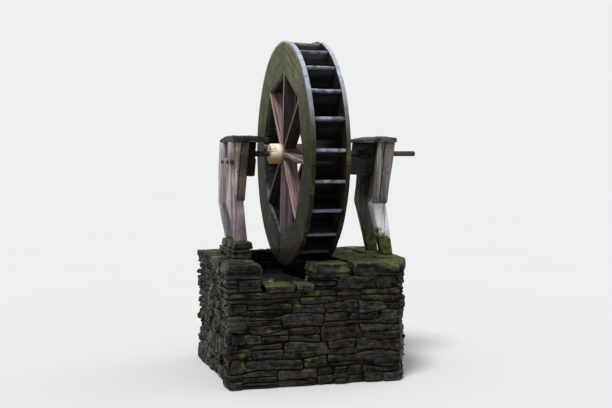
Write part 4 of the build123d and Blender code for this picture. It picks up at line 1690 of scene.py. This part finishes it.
shape = bmesh.new()
mortar_ring(lower_path, 0.004, SPILL_TOP - 0.008, shape)
mortar_ring(upper_path, SPILL_TOP - 0.012, LEDGE_TOP - 0.02, shape)
shape.normal_update()
bmesh.ops.triangulate(shape, faces=shape.faces)
settle(shape_piece("mortar", shape, 30, [mortar]), "root", "rubble_masonry", "pit_floor")
for name, blocks in wall_blocks.items():
    settle(blocks.build(name + "_stones", [wall_stone]), "root", "rubble_masonry", name)
for name, blocks in slab_blocks.items():
    settle(blocks.build(name + "_slabs", [ledge_stone]), "root", "slab_stone", name)

# %% [markdown]
# ## Still water in the pit
# The pit under the wheel holds water up to just below the lip. It is a thin body with a gently
# rippled top, dark because the bottom is dark, and it mirrors the wheel.

# %% Water
lip_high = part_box("spill_lip")[1]
WATER_LEVEL = lip_high.z - 0.005
WATER_CELL = 0.012
WATER_CELLS = 40
INTO_WALL = 0.016


def in_basin(x, y):
    """Whether a place belongs to the pit or to the throat behind the lip."""
    in_pit = back_low.x - INTO_WALL < x < back_high.x + INTO_WALL
    in_pit = in_pit and front_pier_high.y - INTO_WALL < y < back_low.y + INTO_WALL
    in_throat = spill_low.x - INTO_WALL < x < spill_high.x + INTO_WALL
    in_throat = in_throat and lip_high.y - INTO_WALL < y < front_pier_high.y
    return in_pit or in_throat


def water_body(name, finish):
    """Rippled top, flat bottom and the sides between them."""
    shape = bmesh.new()
    columns = {}

    def column(i, j):
        """Lower and upper point at a crossing of the grid."""
        if (i, j) not in columns:
            x, y = i * WATER_CELL, j * WATER_CELL
            ripple = 0.0011 * noise.noise(Vector((x * 26, y * 26, 0.3)))
            top = shape.verts.new((x, y, WATER_LEVEL - 0.0012 + ripple))
            columns[i, j] = (shape.verts.new((x, y, SPILL_TOP - 0.003)), top)
        return columns[i, j]

    grid = [(i, j) for i in range(-WATER_CELLS, WATER_CELLS) for j in range(-WATER_CELLS, WATER_CELLS)]
    cells = [(i, j) for i, j in grid if in_basin((i + 0.5) * WATER_CELL, (j + 0.5) * WATER_CELL)]
    inside = set(cells)
    for i, j in cells:
        posts = [column(*spot) for spot in ((i, j), (i + 1, j), (i + 1, j + 1), (i, j + 1))]
        shape.faces.new([top for _, top in posts])
        shape.faces.new([bottom for bottom, _ in posts][::-1])
        beside = [(i, j - 1), (i + 1, j), (i, j + 1), (i - 1, j)]
        for number, neighbour in enumerate(beside):
            if neighbour not in inside:
                first, second = posts[number], posts[(number + 1) % 4]
                shape.faces.new((first[0], second[0], second[1], first[1]))
    return shape_piece(name, shape, 40, [finish])


nodes = Finish("dark_still_water")
depth_patches = nodes.between(nodes.noise(nodes.where(), 8.0, 3.0, 0.5), 0.3, 0.7)
colour = nodes.mix(depth_patches, (0.012, 0.016, 0.016), (0.03, 0.037, 0.034))
ripples = nodes.noise(nodes.where(), 38.0, 3.0, 0.5)
values = {"Base Color": colour, "Roughness": 0.06, "IOR": 1.333}
water = water_body("pit_water", nodes.surface(values, ripples, 0.002, 0.35))
settle(water, "root", None)

# %% [markdown]
# ## Floor
# A pale floor catches the mill's shadow. It isn't part of the object.

# %% Studio floor
nodes = Finish("pale_floor")
cloudy = nodes.noise(nodes.where(), 0.7, 2.0, 0.5)
colour = nodes.mix(cloudy, (0.645, 0.656, 0.664), (0.66, 0.672, 0.68))
pale_floor = nodes.surface({"Base Color": colour, "Roughness": 0.9, "Specular IOR Level": 0.0})
shape = bmesh.new()
bmesh.ops.create_circle(shape, cap_ends=True, segments=96, radius=40.0)
floor = shape_piece("studio_floor", shape, finishes=[pale_floor])
floor.location.z = -0.001
print("floor", floor.name)
